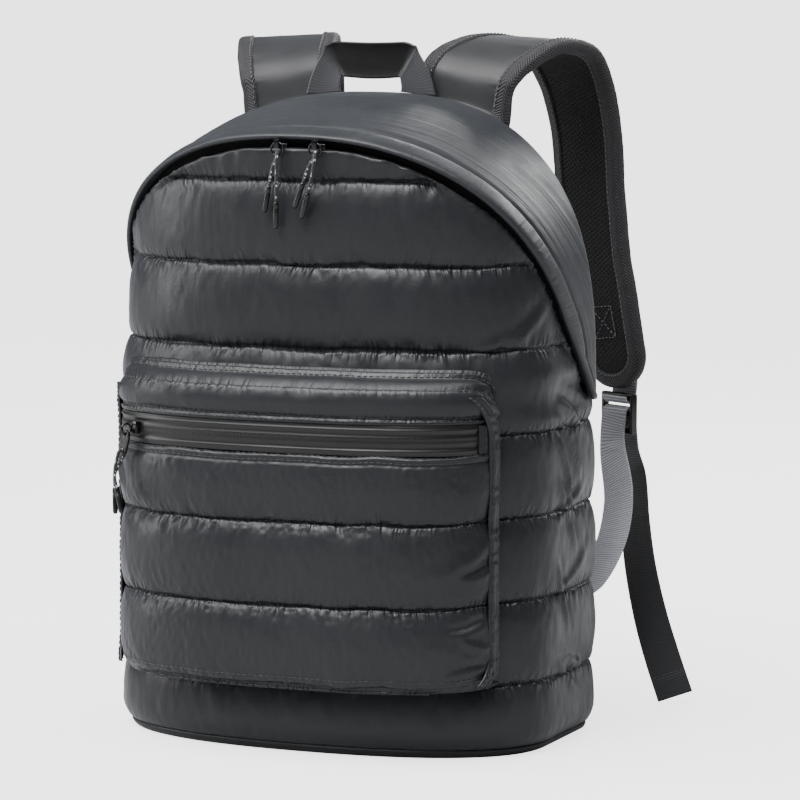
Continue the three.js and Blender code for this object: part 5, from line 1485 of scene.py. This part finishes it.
def bar_turn(level, start, end, count):
    """Route points of webbing that goes round one of the lock's bars."""
    reach = math.hypot(LOCK_BAR / 2, LOCK_THICK / 2) + WEB_THICK / 2 + TOUCH
    angles = np.radians(np.linspace(start, end, count + 1))
    return [(at_lock(level + reach * math.sin(a), reach * math.cos(a)), LOCK_ACROSS) for a in angles]


class BACKPACK_OT_adjusters(bpy.types.Operator):
    """Adjuster webbing, the loops that hold the ladder locks, and the locks"""

    bl_idname = "backpack.adjusters"
    bl_label = "Strap adjusters"

    def execute(self, context):
        across = LOCK_ACROSS
        face = STRAP_THICK / 2 + WEB_THICK / 2 + TOUCH
        top = 236 - LOCK_PLACE[2]
        loop = [(at_lock(top + 6, face + 0.3), across), (at_lock(top - 8, face + 0.1), across)]
        loop += bar_turn(LOCK_HEIGHT / 2 - LOCK_BAR / 2, 0, -180, 6)
        seat = BACK_DEPTH + SEAT + WEB_THICK / 2
        web = [((ANCHOR_X, seat, ANCHOR_Z + 0.4), (1, 0, 0)),
               ((ANCHOR_X, seat + 0.8, ANCHOR_Z + 6), (1, 0, 0)),
               ((ANCHOR_X + 4, BACK_DEPTH + 7, ANCHOR_Z + 14), (1, -0.1, 0)), *WEB_RISE,
               (at_lock(-LOCK_HEIGHT / 2 - 8, -6), across), *bar_turn(0, 180, 0, 6),
               (at_lock(-LOCK_HEIGHT / 2 - 10, 7), across), *WEB_TAIL]
        self.webbing("lock_webbing", loop, "lock_loop", 90)
        self.webbing("adjuster_webbing", web, "adjuster_web", 300)
        for side in ("right", "left"):
            refined(f"ladder_lock_{side}", finishes["plastic"], "moulded_plastic", 0.9)
            refined(f"web_anchor_{side}", finishes["base"], "dark_nylon", 0.9)
        return {"FINISHED"}

    def webbing(self, name, route, node, count):
        """Flat webbing with rounded edges, swept along a route; a free end has a folded and sewn hem."""
        t = np.linspace(0, 1, count)
        at, turn = [r[0] for r in route], [r[1] for r in route]
        line = curve(at, t)
        along = unit(np.gradient(line, axis=0))
        out = curve(turn, t)
        out = unit(out - (out * along).sum(1, keepdims=True) * along)
        face = unit(np.cross(out, along))
        section = round_box(WEB_WIDTH / 2, WEB_THICK / 2 - 0.1, 0.75, 4)
        thick = np.ones(count)
        if node == "adjuster_web":
            thick = 1 + 0.9 * smooth((t - 0.972) / 0.002)
        scaled = section[None] * np.stack([np.ones(count), thick], 1)[:, None]
        piece = surface(f"{name}_right", sweep(line, out, face, scaled), wrap=True, caps=True)
        dress(piece, finishes["webbing"], "webbing", f"{node}_right")
        dress(mirrored(f"{name}_left", piece), finishes["webbing"], "webbing", f"{node}_left")
        if node == "adjuster_web":
            k = int(count * 0.968)
            w = np.linspace(-11, 11, 20)[:, None]
            paths = [line[k] + w * out[k] + face[k] * sign * 0.9 for sign in (-1, 1)]
            lifts = [np.broadcast_to(face[k] * sign, w.shape[:1] + (3,)).copy() for sign in (-1, 1)]
            rows = stitches("adjuster_stitches", *both_sides(paths, lifts), 2.2, 0.9)
            dress(rows, finishes["thread"], "webbing")


def refined(node, material, slot, bevel, segments=3):
    """A copy of a CAD node with its points merged, its flats cleared and its edges rounded by bevel mm."""
    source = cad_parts[node]
    mesh = source.data.copy()
    work = bmesh.new()
    work.from_mesh(mesh)
    bmesh.ops.remove_doubles(work, verts=work.verts, dist=1e-6)
    bmesh.ops.dissolve_limit(work, angle_limit=math.radians(2), verts=work.verts, edges=work.edges)
    work.to_mesh(mesh)
    work.free()
    obj = bpy.data.objects.new(f"{node}_moulded", mesh)
    bpy.context.scene.collection.objects.link(obj)
    edge_round = obj.modifiers.new("edges", "BEVEL")
    edge_round.width = bevel * MM
    edge_round.segments = segments
    edge_round.limit_method = "ANGLE"
    edge_round.angle_limit = math.radians(35)
    mesh.shade_smooth()
    return dress(obj, material, slot, node)


def lathe(start, way, profile, sides=20):
    """A turned shape: rings of the profile's radii at its distances from start along way."""
    way = unit(np.asarray(way, float))
    across = unit(np.cross(way, [0.3, 1.0, 0.2]))
    other = np.cross(way, across)
    profile = np.asarray(profile, float)
    turn = np.linspace(0, 2 * np.pi, sides + 1)[:-1]
    rings = (np.cos(turn)[:, None] * across + np.sin(turn)[:, None] * other)
    return np.asarray(start) + profile[:, 1][:, None, None] * way + profile[:, 0][:, None, None] * rings[None]


CORD_RADIUS = 1.1
TIP_RADIUS = 1.75
TIP_LENGTH = 17.5
RING_RADIUS = 4.25
RING_WIRE = 0.75
RING_Y = -93.5
RING_Z = 394.5
MAIN_PULLS = (
    {"side": "left", "x": -5.5,
     "cord": ((-11.6, -92.8, 371), (-9.6, -92.4, 382), (-7.2, -91.2, 389), (-5.5, -92.2, 392.6),
              (-4.9, -94.8, 392.6), (-4.9, -96, 389), (-5.6, -95, 378), (-6.3, -93.8, 361))},
    {"side": "right", "x": 21,
     "cord": ((12.4, -92.8, 373.6), (15.6, -92.4, 382.6), (19.2, -91.2, 389), (21, -92.2, 392.6),
              (21.6, -94.8, 392.6), (21.6, -96, 389), (19.6, -95, 379), (15.9, -93.8, 367))},
)
POCKET_CORD = ((-9.5, -40, 8), (-10.5, -33, 7.5), (-9.2, -26, 5.5), (-6.6, -20.5, 3.6), (-5, -17, 2.6),
               (-4.4, -15.3, 3.9), (-4.2, -15, 6.4), (-4.4, -16.8, 8.2), (-5, -20.5, 9), (-6, -27, 10),
               (-5.8, -33, 10.4), (-4, -39, 10.2))
POCKET_SLIDER_SHARE = -0.545


class BACKPACK_OT_pulls(bpy.types.Operator):
    """Zip sliders, rings, the pull tab, and the doubled braided cords with their moulded tips"""

    bl_idname = "backpack.pulls"
    bl_label = "Zip pulls"

    def execute(self, context):
        for pull in MAIN_PULLS:
            side = pull["side"]
            self.cord(f"main_pull_cord_{side}", f"main_pull_tip_{side}", np.array(pull["cord"], float))
            self.ring(f"main_pull_ring_{side}", (pull["x"], RING_Y, RING_Z))
            refined(f"main_zip_slider_{side}", finishes["metal"], "black_metal", 0.45)
        middle = (POCKET_ZIP_LOW + POCKET_ZIP_HIGH) / 2
        at, following = (pocket_point(np.array(share), middle, 0.0)
                         for share in (POCKET_SLIDER_SHARE, POCKET_SLIDER_SHARE + 0.02))
        along = unit(following - at)
        out = np.cross(along, [0, 0, 1.0])
        route = np.array([at + a * along + c * out + [0, 0, b] for a, b, c in POCKET_CORD])
        self.cord("pocket_pull_cord", "pocket_pull_tip", route)
        refined("pocket_zip_slider", finishes["metal"], "black_metal", 0.3, 2)
        refined("pocket_pull_tab", finishes["plastic"], "moulded_plastic", 0.3, 2)
        return {"FINISHED"}

    def ring(self, node, centre):
        """A round wire ring in the XZ plane."""
        turn = np.linspace(0, 2 * np.pi, 41)[:-1]
        small = np.linspace(0, 2 * np.pi, 13)[:-1]
        out = np.stack([np.cos(turn), 0 * turn, np.sin(turn)], 1)
        path = np.asarray(centre) + RING_RADIUS * out
        grid = sweep(path, out, np.broadcast_to([0, 1.0, 0], path.shape),
                     RING_WIRE * np.stack([np.cos(small), np.sin(small)], 1))
        grid = np.concatenate([grid, grid[:1]])
        ring = surface(f"{node}_wire", grid, wrap=True)
        work = bmesh.new()
        work.from_mesh(ring.data)
        bmesh.ops.remove_doubles(work, verts=work.verts, dist=1e-7)
        bmesh.ops.recalc_face_normals(work, faces=work.faces)
        work.to_mesh(ring.data)
        work.free()
        dress(ring, finishes["metal"], "black_metal", node)

    def cord(self, node, tip, route):
        """A braided cord through its ring, with a moulded tip on each end."""
        line = spaced(curve(route, np.linspace(0, 1, 400)), 90)
        along = unit(np.gradient(line, axis=0))
        out = unit(np.cross(along, [1.0, 0.1, 0]))
        turn = np.linspace(0, 2 * np.pi, 13)[:-1]
        grid = sweep(line, out, np.cross(along, out), CORD_RADIUS * np.stack([np.cos(turn), np.sin(turn)], 1))
        piece = surface(f"{node}_braid", grid, wrap=True, caps=True)
        dress(piece, finishes["cord"], "pull_cord", node)
        for end, point, before in (("a", route[0], route[1]), ("b", route[-1], route[-2])):
            way = unit(point - before)
            r, n = TIP_RADIUS, TIP_LENGTH
            profile = ((0.05, 0), (0.7 * r, 0), (0.88 * r, 0.3), (r, 1.4), (r, 3.6), (0.9 * r, 4.0),
                       (0.9 * r, 4.5), (r, 4.9), (1.02 * r, 9), (r, n - 2), (0.85 * r, n - 0.6),
                       (0.45 * r, n), (0.05, n))
            grid = lathe(point + way * TOUCH, way, profile)
            shape = surface(f"{tip}_{end}_moulded", grid, wrap=True, caps=True)
            dress(shape, finishes["plastic"], "moulded_plastic", f"{tip}_{end}")


FLOOR_HALF = 200000.0
LIGHTS = (
    {"name": "right strip", "place": (0.9, -0.1, 2.0), "aim": (0, 0, 0.3), "size": (0.5, 1.0), "power": 13},
    {"name": "left strip", "place": (-1.5, -0.5, 0.8), "aim": (0, 0, 0.25), "size": (0.4, 1.3), "power": 15},
    {"name": "front box", "place": (-0.1, -1.3, 2.1), "aim": (0, 0, 0.3), "size": (0.9, 0.5), "power": 34},
    {"name": "back rim", "place": (0.3, 1.8, 1.2), "aim": (0, 0, 0.3), "size": (1.6, 0.8), "power": 28},
)


class BACKPACK_OT_stage(bpy.types.Operator):
    """Pale floor, soft lights and world"""

    bl_idname = "backpack.stage"
    bl_label = "Stage"

    def execute(self, context):
        far = FLOOR_HALF * np.array([[[-1.0, -1, 0], [1, -1, 0]], [[-1, 1, 0], [1, 1, 0]]])
        floor = surface("floor", far, away=(0, 0, -1000))
        f = Finish("pale floor", (0.42, 0.42, 0.43), 0.7)
        cloudy = f.noise(f.place("Object"), 1.5, 2.0)
        glow = f.ramp(f.add("LightPath"), 0, 1, 0.0, 2.2)
        f.paint(Base_Color=f.mix(cloudy, (0.41, 0.41, 0.42, 1), (0.44, 0.44, 0.445, 1)),
                Emission_Color=(1.0, 1.0, 1.0, 1.0), Emission_Strength=glow)
        floor.data.materials.append(f.material)
        world = bpy.data.worlds.new("studio")
        world.use_nodes = True
        tree = world.node_tree
        sky = tree.nodes["Background"]
        sky.inputs["Color"].default_value = (0.97, 0.98, 1.0, 1.0)
        ray = tree.nodes.new("ShaderNodeLightPath").outputs["Is Camera Ray"]
        bright = tree.nodes.new("ShaderNodeMapRange")
        bright.inputs["To Min"].default_value = 0.12
        bright.inputs["To Max"].default_value = 3.1
        tree.links.new(ray, bright.inputs["Value"])
        tree.links.new(bright.outputs[0], sky.inputs["Strength"])
        context.scene.world = world
        ceiling = self.lamp("ceiling", "SUN", 6.6, (-0.25, -0.42, 1))
        ceiling.angle = math.radians(64)
        for row in LIGHTS:
            light = self.lamp(row["name"], "AREA", row["power"], row["place"], row["aim"])
            light.shape = "RECTANGLE"
            light.size, light.size_y = row["size"]
        return {"FINISHED"}

    def lamp(self, name, kind, power, place, aim=(0, 0, 0)):
        """A light at a place that shines at its aim."""
        light = bpy.data.lights.new(name, kind)
        light.energy = power
        lamp = bpy.data.objects.new(name, light)
        lamp.location = place
        lamp.rotation_euler = (Vector(place) - Vector(aim)).to_track_quat("Z", "Y").to_euler()
        bpy.context.scene.collection.objects.link(lamp)
        return light


OPERATORS = (
    BACKPACK_OT_camera,
    BACKPACK_OT_pulls,
    BACKPACK_OT_body,
    BACKPACK_OT_hood,
    BACKPACK_OT_pocket,
    BACKPACK_OT_back,
    BACKPACK_OT_handle,
    BACKPACK_OT_straps,
    BACKPACK_OT_adjusters,
    BACKPACK_OT_stage,
)
GROUPS = (BACKPACK_PG_sizes, BACKPACK_PG_colours, BACKPACK_PG_stage)


class BACKPACK_PT_panel(bpy.types.Panel):
    """Sizes, colours and the pieces to build"""

    bl_label = "Backpack"
    bl_idname = "BACKPACK_PT_panel"
    bl_space_type = "VIEW_3D"
    bl_region_type = "UI"
    bl_category = "Backpack"

    def draw(self, context):
        scene = context.scene
        for group in (scene.backpack_sizes, scene.backpack_colours, scene.backpack_stage):
            box = self.layout.box()
            for name in group.__annotations__:
                box.prop(group, name)
        for operator in OPERATORS:
            self.layout.operator(operator.bl_idname)


def register():
    """Adds the groups, the operators and the panel."""
    for item in (*GROUPS, *OPERATORS, BACKPACK_PT_panel):
        bpy.utils.register_class(item)
    bpy.types.Scene.backpack_sizes = PointerProperty(type=BACKPACK_PG_sizes)
    bpy.types.Scene.backpack_colours = PointerProperty(type=BACKPACK_PG_colours)
    bpy.types.Scene.backpack_stage = PointerProperty(type=BACKPACK_PG_stage)


def unregister():
    """Takes out what register adds."""
    for item in reversed((*GROUPS, *OPERATORS, BACKPACK_PT_panel)):
        bpy.utils.unregister_class(item)
    del bpy.types.Scene.backpack_sizes
    del bpy.types.Scene.backpack_colours
    del bpy.types.Scene.backpack_stage


def main():
    """Builds every piece in the operators' order."""
    register()
    make_finishes(bpy.context.scene.backpack_colours)
    for operator in OPERATORS:
        group, name = operator.bl_idname.split(".")
        getattr(getattr(bpy.ops, group), name)()


if __name__ == "__main__":
    main()
